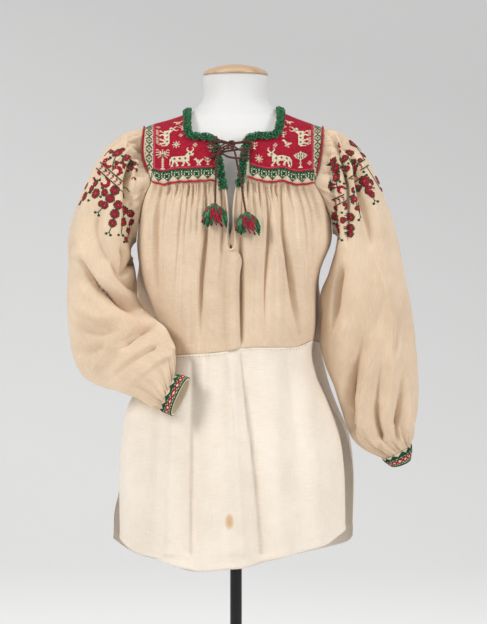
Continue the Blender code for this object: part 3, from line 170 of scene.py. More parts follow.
# Pole's flange under the form and its collar on the plate: radius, thickness, end of the taper
POLE_FLANGE = (0.032, 0.004, 0.010)
POLE_COLLAR = (0.024, 0.012, 0.016)
STAND_GAP = 0.0004
CORNER_REACH = 0.0022
AXIS_RADIUS = 0.0006

# Body of the garment: sheet row, left edge, right edge, depth in front, depth behind (metres)
BODY_ROWS = [
    (100, 141.5, 324, 0.112, 0.092), (168, 141.5, 324, 0.114, 0.094), (182, 141.5, 324.5, 0.117, 0.098),
    (206, 138.5, 330, 0.123, 0.104), (224, 137.3, 332.2, 0.126, 0.106), (243, 137, 331, 0.128, 0.106),
    (264, 139, 322.5, 0.127, 0.104), (283, 143, 317, 0.126, 0.101), (303, 150, 316, 0.124, 0.098),
    (328, 158, 315.5, 0.121, 0.095), (352, 159, 312, 0.12, 0.094), (375, 147.5, 316.5, 0.122, 0.098),
    (401, 130, 327.5, 0.127, 0.104), (432, 122.2, 338.8, 0.132, 0.11), (466, 119.4, 343.8, 0.135, 0.114),
    (506, 119.4, 345.2, 0.136, 0.117), (575, 121, 344.5, 0.135, 0.118),
]

# Fullness of the back beside the front's edges: sheet row, to the left, to the right (squares)
SIDE_FULLNESS = [
    (100, 0, 0), (190, 0, 0), (232, 0, 0), (243, -0.6, 0.4), (264, -8, 6), (283, -17, 11), (303, -23, 15),
    (328, -29, 16), (352, -29, 20), (375, -20, 22), (401, -8, 20), (432, -5, 18), (466, -2, 16), (575, 0, 14),
]
FULLNESS_PLACE = 0.90
FULLNESS_REACH = 0.13
FULLNESS_DEPTH = 0.012

# Seams across the garment: sheet column, sheet row
YOKE_SEAM = [
    (130, 181), (152, 181), (162, 184.3), (173, 182.4), (190, 181.4), (214, 180.4), (226, 180.6), (236, 177.5),
    (246, 176.6), (258, 180), (270, 182), (284, 181), (293, 184), (314, 183), (336, 183),
]
WAIST_SEAM = [
    (130, 357.5), (160, 357), (178, 355.4), (224, 351.8), (240, 348.6), (284, 347.6), (298, 346.6), (308, 342),
    (317, 337.3), (336, 336),
]
HEM = [
    (113, 531), (120.7, 539.4), (134.4, 551.5), (160, 560), (182.7, 569), (196.4, 571.5), (220, 570), (243, 568),
    (262, 563), (293, 555), (317, 548), (337.6, 537), (345, 530), (354, 519),
]
BACK_YOKE_ROW = 168.0

# Shoulder line from the armhole to the neck: sheet column, sheet row
RIDGE_LEFT = [(136, 130.5), (143.5, 128.5), (154, 124.6), (170, 120.2), (185, 114.8), (190, 112.6), (236, 112.6)]
RIDGE_RIGHT = [(236, 111.6), (278, 111.6), (285, 114.2), (297, 119.2), (313, 124.9), (323.5, 128.5), (330, 130.5)]

# Outer edge of the yoke: share of the way from the shoulder to the seam, sheet column
YOKE_OUTER = {
    "left": [(0, 143.5), (0.6, 143.5), (0.82, 147.5), (1, 151.5)],
    "right": [(0, 323.3), (0.5, 320.5), (0.82, 317), (1, 314.2)],
}
STRAP_INNER = {"left": 190.0, "right": 277.5}
STRIP_TOP = 0.36
BACK_STRIP_TOP = 0.30
SLIT_AT_STRIP = {"left": (217.0, 225.0), "right": (244.2, 237.4)}

# Armhole below the yoke by side and whether behind: sheet column, sheet row
ARMHOLES = {
    ("left", False): [(151.5, 181), (146.8, 194), (143, 206), (139.8, 222), (138, 234), (137, 243)],
    ("right", False): [(314.2, 183), (319.6, 194), (324.8, 206), (329.3, 218), (331.4, 227), (332, 235)],
    ("left", True): [(149, 168), (145, 184), (141.4, 206), (138.9, 222), (137.8, 234), (137, 243)],
    ("right", True): [(316.6, 168), (320.4, 184), (327.2, 206), (330.4, 218), (331.8, 227), (332, 235)],
}

# Gathers of the upper front, one row for each valley: sheet column at the yoke seam, at row
# 230, at row 300 and at the waist, then depth in millimetres under the seam and at those rows
FOLD_LEVELS = (182.0, 230.0, 300.0, 352.0)
LEVEL_SHARES = (0.0, 0.28, 0.69, 1.0)
YOKE_ROW = FOLD_LEVELS[0]
WAIST_ROW = FOLD_LEVELS[3]
HEM_ROW = 540.0
# Columns at those levels that end the gathers at each side, by side and whether behind
FOLD_ENDS = {
    ("left", False): (151.5, 143, 151, 160.2), ("right", False): (314.2, 327, 315, 311.6),
    ("left", True): (149, 143, 151, 160.2), ("right", True): (316.6, 327, 315, 311.6),
}
FRONT_FOLDS_LEFT = [
    (220.8, 223, 219, 219, 2.2, 2.2, 0.6, 0.2), (215.2, 216, 213, 213, 2, 0.8, 0.4, 0.1),
    (209.8, 211, 208, 208, 2.2, 1.2, 0.4, 0.1), (204.6, 205.2, 199.8, 201, 3, 4.2, 3.4, 0.8),
    (198.8, 197.5, 194, 195, 2.2, 0.8, 0.5, 0.2), (192.8, 191.5, 188, 189, 2.2, 0.9, 0.4, 0.1),
    (188, 185, 181.5, 181, 2.2, 2.6, 1.8, 0.8), (182.6, 178.5, 174.5, 175, 2.8, 2, 0.6, 0.4),
    (176.4, 171, 169, 170, 2.4, 0.8, 0.4, 0.2), (168.6, 163, 164, 166, 3, 1.2, 1.2, 0.2),
    (161, 154, 158.5, 163.5, 3, 3.2, 1.6, 0.2), (154.6, 147.5, 154, 161.5, 2.6, 1.8, 0.6, 0.2),
]
FRONT_FOLDS_RIGHT = [
    (242.4, 241.5, 240.8, 240.6, 2.2, 2.8, 3.6, 1.6), (248, 249, 249, 247, 2.2, 1, 0.8, 0.3),
    (253.6, 255, 255, 254, 2.6, 1, 0.5, 0.2), (259.2, 262, 260.5, 260, 2.2, 0.8, 0.5, 0.2),
    (265.2, 269.8, 265.4, 266, 2.6, 3.8, 2.6, 0.8), (271.2, 275.5, 275.5, 275, 2.4, 1.2, 0.7, 0.2),
    (276.6, 280.2, 284, 285, 2.4, 1.4, 0.8, 0.2), (282.2, 285, 296.4, 302, 3, 3.8, 3.2, 1.2),
    (289, 296, 302, 304.6, 2.6, 1.4, 0.6, 0.2), (297, 306.5, 306.4, 306.8, 3, 2, 0.8, 0.2),
    (303.8, 314.8, 310.4, 309, 2.8, 2.6, 1.2, 0.2), (309.4, 322.5, 313.2, 310.8, 2.4, 2.8, 2.4, 0.4),
]
BACK_FOLDS = [
    (158, 151, 158, 165, 2.8, 2.4, 1.2, 0.3), (166, 160, 165, 172, 2.6, 1.6, 0.6, 0.2),
    (173.5, 168, 172, 178, 3, 3.2, 2.4, 0.6), (181, 176.5, 179, 184, 2.4, 1.2, 0.6, 0.2),
    (188.5, 185, 186.5, 190.5, 2.8, 1.8, 0.8, 0.2), (196, 193.5, 194, 197, 2.6, 3.4, 2.8, 0.8),
    (203.5, 202, 202, 204, 2.4, 1, 0.4, 0.1), (211, 210.5, 210, 211, 2.8, 1.6, 0.6, 0.2),
    (218.5, 218.5, 218.5, 218.5, 2.4, 2.8, 1.6, 0.4), (226.5, 227, 226.5, 226, 2.6, 1.2, 0.5, 0.1),
    (234, 234.5, 234.5, 234, 3, 3, 2.6, 0.8), (241.5, 242.5, 242, 241.5, 2.4, 1.2, 0.5, 0.1),
    (249.5, 250.5, 250.5, 249.5, 2.8, 1.8, 0.8, 0.2), (257, 259, 259, 257, 2.6, 3.2, 2.2, 0.6),
    (265, 267.5, 267, 264.5, 2.4, 1, 0.4, 0.1), (272.5, 276.5, 275, 272, 2.8, 1.8, 0.8, 0.2),
    (280.5, 285.5, 283, 279.5, 2.6, 2.8, 2.4, 0.6), (288.5, 295, 291, 287, 2.8, 1.4, 0.6, 0.2),
    (296.5, 304.5, 298.5, 294.5, 2.6, 2.2, 1, 0.2), (304.5, 314, 305, 301.5, 2.8, 2.4, 1.2, 0.3),
]

# Slit edges and the raised pleat under it: share of the way down, left edge, right edge
SLIT_AND_PLEAT = [
    (0, 225.2, 237.2), (0.28, 228.6, 232.4), (0.4, 229.6, 231), (0.45, 227, 238.2), (0.58, 226.2, 239),
    (1, 226.2, 239.2),
]

# Soft folds of the lower panels: sheet column at rows 355, 460 and 560, height and half width
SKIRT_LEVELS = (355.0, 460.0, 560.0)
SKIRT_FOLDS_FRONT = [
    (140, 132, 128, 0.0035, 9), (166, 156, 150, -0.004, 9), (178, 172, 170, 0.0035, 10),
    (192, 191, 190, -0.0045, 8), (210, 212, 214, 0.0028, 9), (232, 238, 242, 0.005, 8),
    (246, 252, 261, -0.0045, 8), (270, 276, 282, 0.0035, 10), (290, 297, 304, -0.0035, 9),
    (304, 316, 324, 0.0035, 9), (312, 334, 338, -0.003, 7),
]
SKIRT_FOLDS_BACK = [
    (168, 150, 144, -0.0045, 9), (184, 172, 166, 0.0045, 10), (204, 196, 190, -0.0045, 9),
    (222, 218, 214, 0.0045, 10), (240, 240, 242, -0.005, 9), (258, 264, 268, 0.0045, 10),
    (276, 288, 296, -0.0045, 9), (292, 308, 318, 0.004, 10), (304, 326, 336, -0.0035, 8),
]
BACK_PANEL_FLARE = {
    "left": [(340, 0), (490, 0), (512, -5.5), (527, -6.5), (575, -5)],
    "right": [(340, 0), (400, 1), (440, 8), (494, 9), (518, 8), (575, 7)],
}

# Sleeves, one row for each section: outer column and row, inner column and row, depth of the
# middle, half depth (metres), and how far the front leans along the sleeve (squares)
SLEEVES = {
    "left": [
        (129, 131, 131.5, 248, 0.0, 0.074, 0), (118, 136.5, 130.5, 252.5, 0.0, 0.079, 0),
        (104.5, 149.5, 131.5, 257.5, 0.0, 0.081, 0), (91, 173, 133.5, 264, 0.0, 0.081, 0),
        (78, 203, 135.5, 272, -0.002, 0.08, 0), (69, 236, 136.5, 281, -0.006, 0.077, 0),
        (68.2, 268, 137, 289.5, -0.01, 0.073, 0), (67.4, 298, 138, 297, -0.016, 0.068, 0),
        (68.6, 327, 140.5, 303, -0.024, 0.063, 0), (72, 351, 144, 308.5, -0.036, 0.058, 0),
        (81, 373.5, 149.5, 314, -0.052, 0.052, 0), (97, 385, 157.5, 321, -0.076, 0.046, 0),
        (119, 391.8, 166.5, 330.5, -0.099, 0.04, 0), (138, 399, 173, 345, -0.117, 0.033, 1),
        (151, 405, 174.6, 360, -0.131, 0.025, 1), (159, 409.2, 174.6, 374.6, -0.141, 0.0165, 0),
    ],
    "right": [
        (338, 131.3, 337.5, 238, 0.0, 0.074, 0), (350, 139.8, 337.5, 242.5, 0.0, 0.079, 0),
        (364, 154, 335.5, 249, 0.0, 0.081, 0), (378.5, 181, 332.5, 261, 0.002, 0.08, 0),
        (388.5, 208, 328.5, 275, 0.003, 0.078, 0), (397.5, 239, 324.5, 291, 0.004, 0.076, 0),
        (404.5, 271, 321.5, 308, 0.004, 0.073, 0), (411, 305, 319.8, 325, 0.003, 0.07, 0),
        (416, 340, 320.4, 343, 0.001, 0.066, 0), (418.4, 370, 324.2, 361.5, -0.002, 0.062, 0),
        (418.6, 394, 331, 380, -0.004, 0.056, 0), (417.8, 413, 338.2, 402, -0.006, 0.049, 0),
        (415.6, 426, 346.5, 426, -0.008, 0.04, 1), (413.4, 434, 359, 444, -0.009, 0.03, 3),
        (410.6, 441.4, 381.6, 457.4, -0.01, 0.0185, 4),
    ],
}
CUFFS = {
    "left": [
        (159, 409.2, 174.6, 374.6, -0.141, 0.0165, 0), (165.5, 412.6, 182.6, 375.6, -0.1465, 0.016, -2),
        (172.4, 415.4, 189.4, 378.4, -0.152, 0.0155, -4),
    ],
    "right": [
        (410.6, 441.4, 381.6, 457.4, -0.01, 0.0185, 4), (411.4, 449.6, 385.6, 461.6, -0.01, 0.018, 4.4),
        (410.2, 457.6, 390.2, 464.4, -0.01, 0.017, 4.8),
    ],
}

# Large creases of the sleeves: sheet points of the crease, height (metres), half width, side
SLEEVE_CREASES = {
    "left": [
        ([(79, 259), (89, 277), (100, 288), (114, 296), (127, 303), (142, 311)], -0.0085, 6, 1),
        ([(92, 376), (108, 358), (124, 340), (140, 326)], 0.006, 6.5, 1),
        ([(121, 349), (132, 337), (143, 327), (154, 322)], -0.005, 4, 1),
        ([(131, 164), (126, 180), (126, 203), (125, 224), (124, 250)], -0.006, 4.5, 1),
        ([(132, 190), (134, 207), (136, 222), (137, 240)], -0.0045, 3.5, 1),
        ([(112, 262), (118, 274), (128, 284), (139, 292)], -0.005, 4.5, 1),
        ([(72, 300), (84, 312), (100, 318), (120, 318)], 0.004, 7, 1),
        ([(84, 230), (90, 262), (104, 284), (130, 300)], -0.007, 6, -1),
        ([(76, 330), (98, 330), (122, 322), (142, 312)], -0.006, 6, -1),
        ([(122, 170), (116, 200), (112, 236)], -0.0055, 5, -1),
    ],
    "right": [
        ([(332, 136), (340, 152), (346, 176), (348, 212), (346.5, 246)], -0.006, 4.5, 1),
        ([(344, 135), (356, 158), (360, 182), (366, 212), (372, 250)], -0.0055, 5, 1),
        ([(368, 338), (356, 372), (347, 409), (349, 438)], -0.008, 6, 1),
        ([(388, 360), (382, 396), (380, 424), (386, 444)], -0.006, 5, 1),
        ([(404, 372), (402, 400), (398, 424), (397, 444)], -0.0045, 4.5, 1),
        ([(342, 262), (336, 290), (334, 318)], -0.005, 4.5, 1),
        ([(346, 150), (352, 190), (356, 236)], -0.006, 5, -1),
        ([(376, 300), (372, 346), (374, 392), (384, 436)], -0.007, 6, -1),
        ([(396, 330), (398, 372), (396, 420)], -0.005, 5, -1),
    ],
}

# Dress form: sheet row, centre column, half width, depth in front, depth behind, power
FORM_ROWS = [
    (76, 235.5, 31.4, 0.05, 0.054, 2), (95, 235.5, 31.4, 0.05, 0.054, 2), (102.5, 235.3, 33.4, 0.052, 0.056, 2),
    (109, 235, 37.2, 0.055, 0.058, 2), (114, 235, 41.5, 0.058, 0.059, 2.1), (118, 234.4, 50, 0.061, 0.061, 2.1),
    (122, 234, 60, 0.065, 0.063, 2.2), (127, 233.6, 70, 0.07, 0.066, 2.2), (133, 233.2, 77.5, 0.077, 0.069, 2.3),
    (142, 233, 83.5, 0.086, 0.074, 2.3), (156, 233, 85, 0.095, 0.079, 2.3), (182, 233, 86, 0.104, 0.086, 2.3),
    (215, 233.5, 86.5, 0.108, 0.09, 2.3), (255, 233.5, 82, 0.104, 0.088, 2.3), (295, 233.5, 72, 0.094, 0.08, 2.2),
    (335, 234, 66, 0.086, 0.074, 2.2), (370, 234, 71, 0.09, 0.08, 2.2), (402, 234, 79, 0.096, 0.088, 2.2),
    (424, 234, 80, 0.097, 0.09, 2.2), (434, 234, 75, 0.092, 0.085, 2.2),
]

# Where the form's cover is fuller than its solid: sheet row, reach in rows, squares or metres
NECK_FULLER = [(84, 12, 1.2), (112, 7, 3.4)]
CHEST_FULLER = (212, 26, 0.005)

# Green wool edging round the neck and down the slit: sheet column and row of its middle line
EDGING_FRONT_LEFT = [(223.6, 189.0), (221.2, 174.0), (218.8, 160.0), (216.2, 147.0), (213.0, 139.8),
                     (206.0, 137.8), (197.0, 137.6), (190.2, 135.6), (188.4, 129.0), (188.2, 121.0)]
EDGING_FRONT_RIGHT = [(239.0, 187.0), (241.4, 174.0), (243.6, 160.0), (245.8, 147.0), (249.0, 139.2),
                      (256.0, 136.8), (267.0, 136.8), (275.6, 135.0), (278.4, 129.0), (279.8, 121.0)]
EDGING_BACK_ROWS = [(0.06, 0), (0.16, 0), (0.25, 2), (0.29, 8)]

# Lace: sheet column, sheet row, height over the yoke (metres)
LACE_KNOT = (232.0, 143.2)
LACE_KNOT_RADIUS = 0.0046
LACE_HEIGHT = 0.0090
LACES = {
    "lace_top_left": [
        (207, 144.2, 0.0018), (209.2, 143.4, 0.0062), (211.6, 142.6, 0.0086), (215, 142, 0.009),
        (219, 142, 0.009), (224, 142.6, 0.0088), (229, 143.1, 0.009),
    ],
    "lace_top_right": [
        (252.8, 144, 0.0018), (250.4, 143.4, 0.0062), (247.4, 142.9, 0.0086), (243, 142.6, 0.0088),
        (239, 142.9, 0.0088), (235, 143.1, 0.009),
    ],
    "lace_rising": [
        (209.4, 157.8, 0.0018), (212.4, 156.8, 0.0042), (215.6, 155.2, 0.0078), (219.5, 153.4, 0.008),
        (224, 151.8, 0.008), (233, 150.2, 0.008), (241, 149.2, 0.008), (245.4, 148.8, 0.008),
        (248.6, 148.6, 0.0066), (251.6, 148.4, 0.0018),
    ],
    "lace_falling": [
        (208.6, 149, 0.0018), (211.8, 149.6, 0.0054), (215, 150.6, 0.009), (219.5, 152, 0.0114),
        (224, 154.6, 0.0114), (229, 157, 0.0096), (234, 157.9, 0.0084), (240, 158.1, 0.008), (244, 158.3, 0.008),
        (247.4, 158.4, 0.0066), (250.8, 158.5, 0.0018),
    ],
    "lace_end_left": [
        (229.6, 145, 0.0094), (225.5, 146, 0.0125), (221.4, 148.6, 0.0148), (218.6, 154, 0.0152),
        (217.2, 161, 0.0138), (216.2, 173, 0.012), (215.4, 188, 0.0115), (215.2, 205, 0.014),
    ],
    "lace_end_right": [
        (232.6, 146, 0.0094), (234, 149.5, 0.0122), (235.6, 155, 0.013), (237.2, 163.8, 0.0128),
        (239.8, 175, 0.0122), (241.8, 187, 0.0118), (243.8, 200, 0.0118), (246, 213.2, 0.014),
    ],
}

# Tassels: head column and row, middle of the wool, half width, half height, half depth (squares)
TASSELS = {
    "tassel_left": ((215.2, 205.6), (215.6, 219.6), 12.6, 13.6, 7.6),
    "tassel_right": ((246.2, 213.8), (249, 227.8), 12.2, 13.2, 8.4),
}
TASSEL_DEPTH = 0.0140
TASSEL_HEAD_RADIUS = 0.0068

# Strands of each tassel, steps along the edging
TASSEL_STRANDS = 118
EDGING_STEPS = 330

# Slack turns of the lace about its knot and eyelets: sheet column, row, height over the yoke
LACE_SLACK = [
    [
        (231, 143.5, 0.0105), (224, 141.2, 0.0112), (216, 139.4, 0.012), (211.6, 141, 0.0118),
        (212.6, 145, 0.0112), (219, 147.4, 0.011), (227, 148.6, 0.0108), (232, 147.4, 0.0112),
    ],
    [
        (233, 143, 0.0108), (240, 142, 0.0116), (247, 140.6, 0.0124), (251.6, 143, 0.0122), (250.6, 148, 0.0118),
        (245.6, 150.6, 0.0114), (239, 149.4, 0.011), (234, 146.4, 0.0112),
    ],
    [
        (212, 157, 0.006), (217.4, 153.6, 0.0106), (224.6, 149.4, 0.0112), (231.4, 145.6, 0.0116),
        (239, 149.6, 0.0112), (245.8, 153.6, 0.0104), (250.6, 157, 0.0052),
    ],
    [(218, 150.4, 0.0118), (221, 146, 0.0122), (226.6, 143.4, 0.012), (232, 146.8, 0.0122), (231, 151, 0.0114)],
]
LACE_TASSELS = {"lace_end_left": "tassel_left", "lace_end_right": "tassel_right"}

# Long folds of the front: row, column, height in millimetres, half width
FRONT_MARKS = [
    [(196, 206, -1, 2), (231, 204.8, -5, 2.2), (273, 200, -5, 2.6), (300, 200, -3.5, 3), (330, 204, 0, 3.5)],
    [(205, 187.5, 0, 4), (232, 186, 3.2, 4.2), (279, 182, 3, 5), (320, 179, 2, 5), (352, 178, 0.6, 5)],
    [(200, 212, 0, 3), (230, 210, 2.6, 3), (290, 207, 2.2, 4), (340, 208, 0.4, 4)],
    [(188, 268.6, -2, 1.8), (206, 271, -5, 2), (231, 269.8, -5, 2.4), (262, 267, -3.5, 3), (296, 265, 0, 3)],
    [(196, 277, 0, 3), (230, 276, 3, 3.5), (280, 279, 2.2, 4.5), (330, 282, 0.5, 5)],
    [(188, 280, -1, 2), (231, 283, -4, 2.4), (252, 288, -4.5, 2.6), (307, 297.7, -4, 3), (336, 302.6, 0, 3)],
    [(215, 296, 0, 4), (255, 300, 3, 4.5), (300, 306, 2.5, 4), (335, 308, 0.5, 4)],
    [(238, 240.6, -3, 1.6), (262, 240.9, -5, 1.9), (320, 241.3, -4, 2.1), (350, 241.5, -1, 2.4)],
    [(196, 150, 0, 3), (214, 148, 3.5, 4), (250, 146, 3, 4.5), (300, 154, 1, 4.5)],
    [(200, 159, -1, 2.2), (226, 155, -4.5, 2.6), (262, 154, -3, 3.2), (300, 160, 0, 3)],
    [(200, 254, 0, 3), (226, 254, 2.4, 4), (280, 252, 2, 5), (340, 252, 0.5, 5)],
    [(255, 193, 0, 3), (290, 191, -2.6, 3), (345, 190, -1.5, 3.5)],
    [(196, 315, -1, 2), (222, 319, -4.5, 2.4), (246, 317, -3.5, 2.6), (290, 309, 0, 3)],
]
SKIRT_MARKS_FRONT = [
    [(356, 229, 2.4, 3.5), (400, 233, 4.6, 4.2), (442, 236, 4, 5), (553, 242, 3, 7)],
    [(356, 241, -3.6, 2.2), (400, 245, -4.6, 2.8), (460, 253, -4.2, 4), (553, 261.5, -3.4, 6)],
    [(362, 191, -2, 3), (430, 190.5, -4.4, 4), (553, 189.7, -4.4, 6)],
    [(380, 176, 0, 5), (440, 172, 2.2, 7), (555, 168, 2.5, 9)],
    [(352, 262, 0.6, 4), (380, 264, 1.4, 5), (430, 270, 0, 6)],
    [(356, 205, -1.6, 2.4), (384, 206, -1.2, 4), (410, 207, 0, 5)],
    [(352, 285, -1.6, 2.6), (390, 290, -2, 5), (440, 294, 0, 7)],
    [(420, 300, 0, 10), (465, 293, -2.5, 13), (510, 294, 0, 12)],
    [(356, 168, -1.4, 2.6), (392, 160, -1.8, 5), (450, 150, 0, 8)],
]
SKIRT_MARKS_BACK = [
    [(356, 212, -2, 2.6), (400, 208, -2.5, 4), (470, 206, -1, 7), (540, 204, 0, 8)],
    [(356, 250, -2.2, 2.6), (410, 254, -2.6, 5), (500, 260, -1.4, 8), (550, 262, -1, 9)],
    [(356, 231, 1.6, 4), (430, 230, 2.2, 7), (550, 228, 2, 9)],
    [(356, 186, -1.8, 2.6), (420, 176, -2.2, 6), (520, 168, -1.4, 9)],
    [(356, 284, 1.4, 5), (440, 296, 2, 8), (550, 304, 1.6, 9)],
]

# Smaller creases of the sleeves, in the same terms as the large ones
SMALL_CREASES = {
    "left": [
        ([(101, 206), (96, 226), (102, 248), (116, 270)], -0.0052, 8, 1),
        ([(84, 214), (79, 236), (80, 262)], 0.003, 6, 1),
        ([(148, 178), (144, 192), (143, 206), (140, 232)], -0.006, 2.2, 1),
        ([(132, 160), (127, 178), (126.5, 203), (125.5, 222), (124.5, 248)], -0.007, 2.4, 1),
        ([(138, 156), (134, 176), (132, 200), (133.5, 222)], 0.004, 3, 1),
        ([(140, 133), (128, 136), (116, 144), (108, 156)], -0.0026, 2.6, 1),
        ([(142, 140), (130, 144), (122, 152), (117, 166)], -0.003, 2.4, 1),
        ([(143, 150), (136, 156), (129, 168), (121, 186)], -0.003, 2.2, 1),
        ([(80, 256), (86, 272), (96, 285), (112, 295), (128, 303), (142, 310)], -0.007, 2.8, 1),
        ([(72, 246), (78, 262), (88, 282), (104, 296)], 0.004, 4, 1),
        ([(152, 320), (163, 327), (171, 338), (174, 352)], 0.003, 3.2, 1),
        ([(118, 352), (131, 338), (144, 328), (156, 324)], -0.005, 2.6, 1),
        ([(92, 379), (108, 360), (124, 342), (138, 330)], 0.0046, 3.6, 1),
        ([(104, 384), (122, 368), (142, 352), (158, 344)], -0.0046, 2.8, 1),
        ([(120, 391), (138, 378), (156, 364), (170, 356)], 0.003, 2.6, 1),
        ([(74, 318), (86, 330), (102, 334), (118, 330)], -0.0032, 4, 1),
        ([(76, 345), (90, 350), (106, 346)], -0.0028, 4, 1), ([(121, 246), (124, 262), (124, 277)], -0.006, 3, 1),
        ([(136, 256), (131, 268), (124, 277)], -0.005, 2.4, 1),
        ([(120, 150), (112, 182), (108, 220), (104, 250)], -0.005, 3.6, -1),
        ([(132, 160), (128, 196), (124, 232)], -0.006, 2.8, -1),
        ([(84, 250), (94, 280), (112, 300), (136, 310)], -0.006, 3.4, -1),
        ([(96, 200), (90, 240), (86, 280)], 0.004, 5, -1), ([(110, 376), (124, 360), (144, 346)], -0.004, 3, -1),
    ],
    "right": [
        ([(376, 258), (386, 296), (392, 334), (390, 376)], 0.005, 7, 1),
        ([(384, 300), (374, 330), (362, 362), (352, 400)], -0.0036, 6, 1),
        ([(330, 134), (338, 150), (345, 176), (348, 212), (347, 250)], -0.009, 2.2, 1),
        ([(343, 134), (355, 158), (360, 182), (367, 212), (373, 252)], -0.0085, 2.4, 1),
        ([(336, 150), (341, 176), (342.5, 214), (341, 250)], 0.0045, 2.8, 1),
        ([(349, 150), (353, 180), (358, 214), (362, 250)], 0.004, 3, 1),
        ([(358, 150), (367, 180), (378, 220), (386, 262)], 0.004, 4, 1),
        ([(326, 152), (331, 176), (334, 205), (335, 240)], -0.006, 2.2, 1),
        ([(366, 330), (356, 362), (348, 398), (347, 436)], -0.0085, 3, 1),
        ([(376, 318), (368, 352), (360, 392), (358, 436)], 0.005, 3.6, 1),
        ([(384, 352), (379, 388), (378, 420), (384, 448)], -0.006, 2.6, 1),
        ([(371, 408), (376, 428), (385, 452)], 0.0036, 2.2, 1),
        ([(402, 366), (402, 398), (398, 430)], -0.0046, 2.8, 1),
        ([(410, 376), (411, 404), (406, 434)], 0.003, 2.6, 1),
        ([(340, 262), (334, 292), (332, 330)], -0.006, 2.6, 1),
        ([(330, 248), (326, 276), (322, 310)], 0.003, 3, 1),
        ([(392, 290), (396, 324), (394, 356)], -0.004, 4.5, 1),
        ([(340, 370), (342, 400), (350, 430)], 0.0036, 3, 1),
        ([(340, 150), (346, 190), (348, 240)], -0.007, 2.8, -1),
        ([(358, 160), (368, 204), (374, 250)], -0.006, 3.2, -1),
        ([(366, 320), (358, 366), (356, 420)], -0.007, 3.4, -1),
        ([(388, 330), (386, 380), (390, 430)], -0.005, 3.4, -1),
        ([(376, 262), (382, 300), (384, 340)], 0.004, 5, -1),
    ],
}

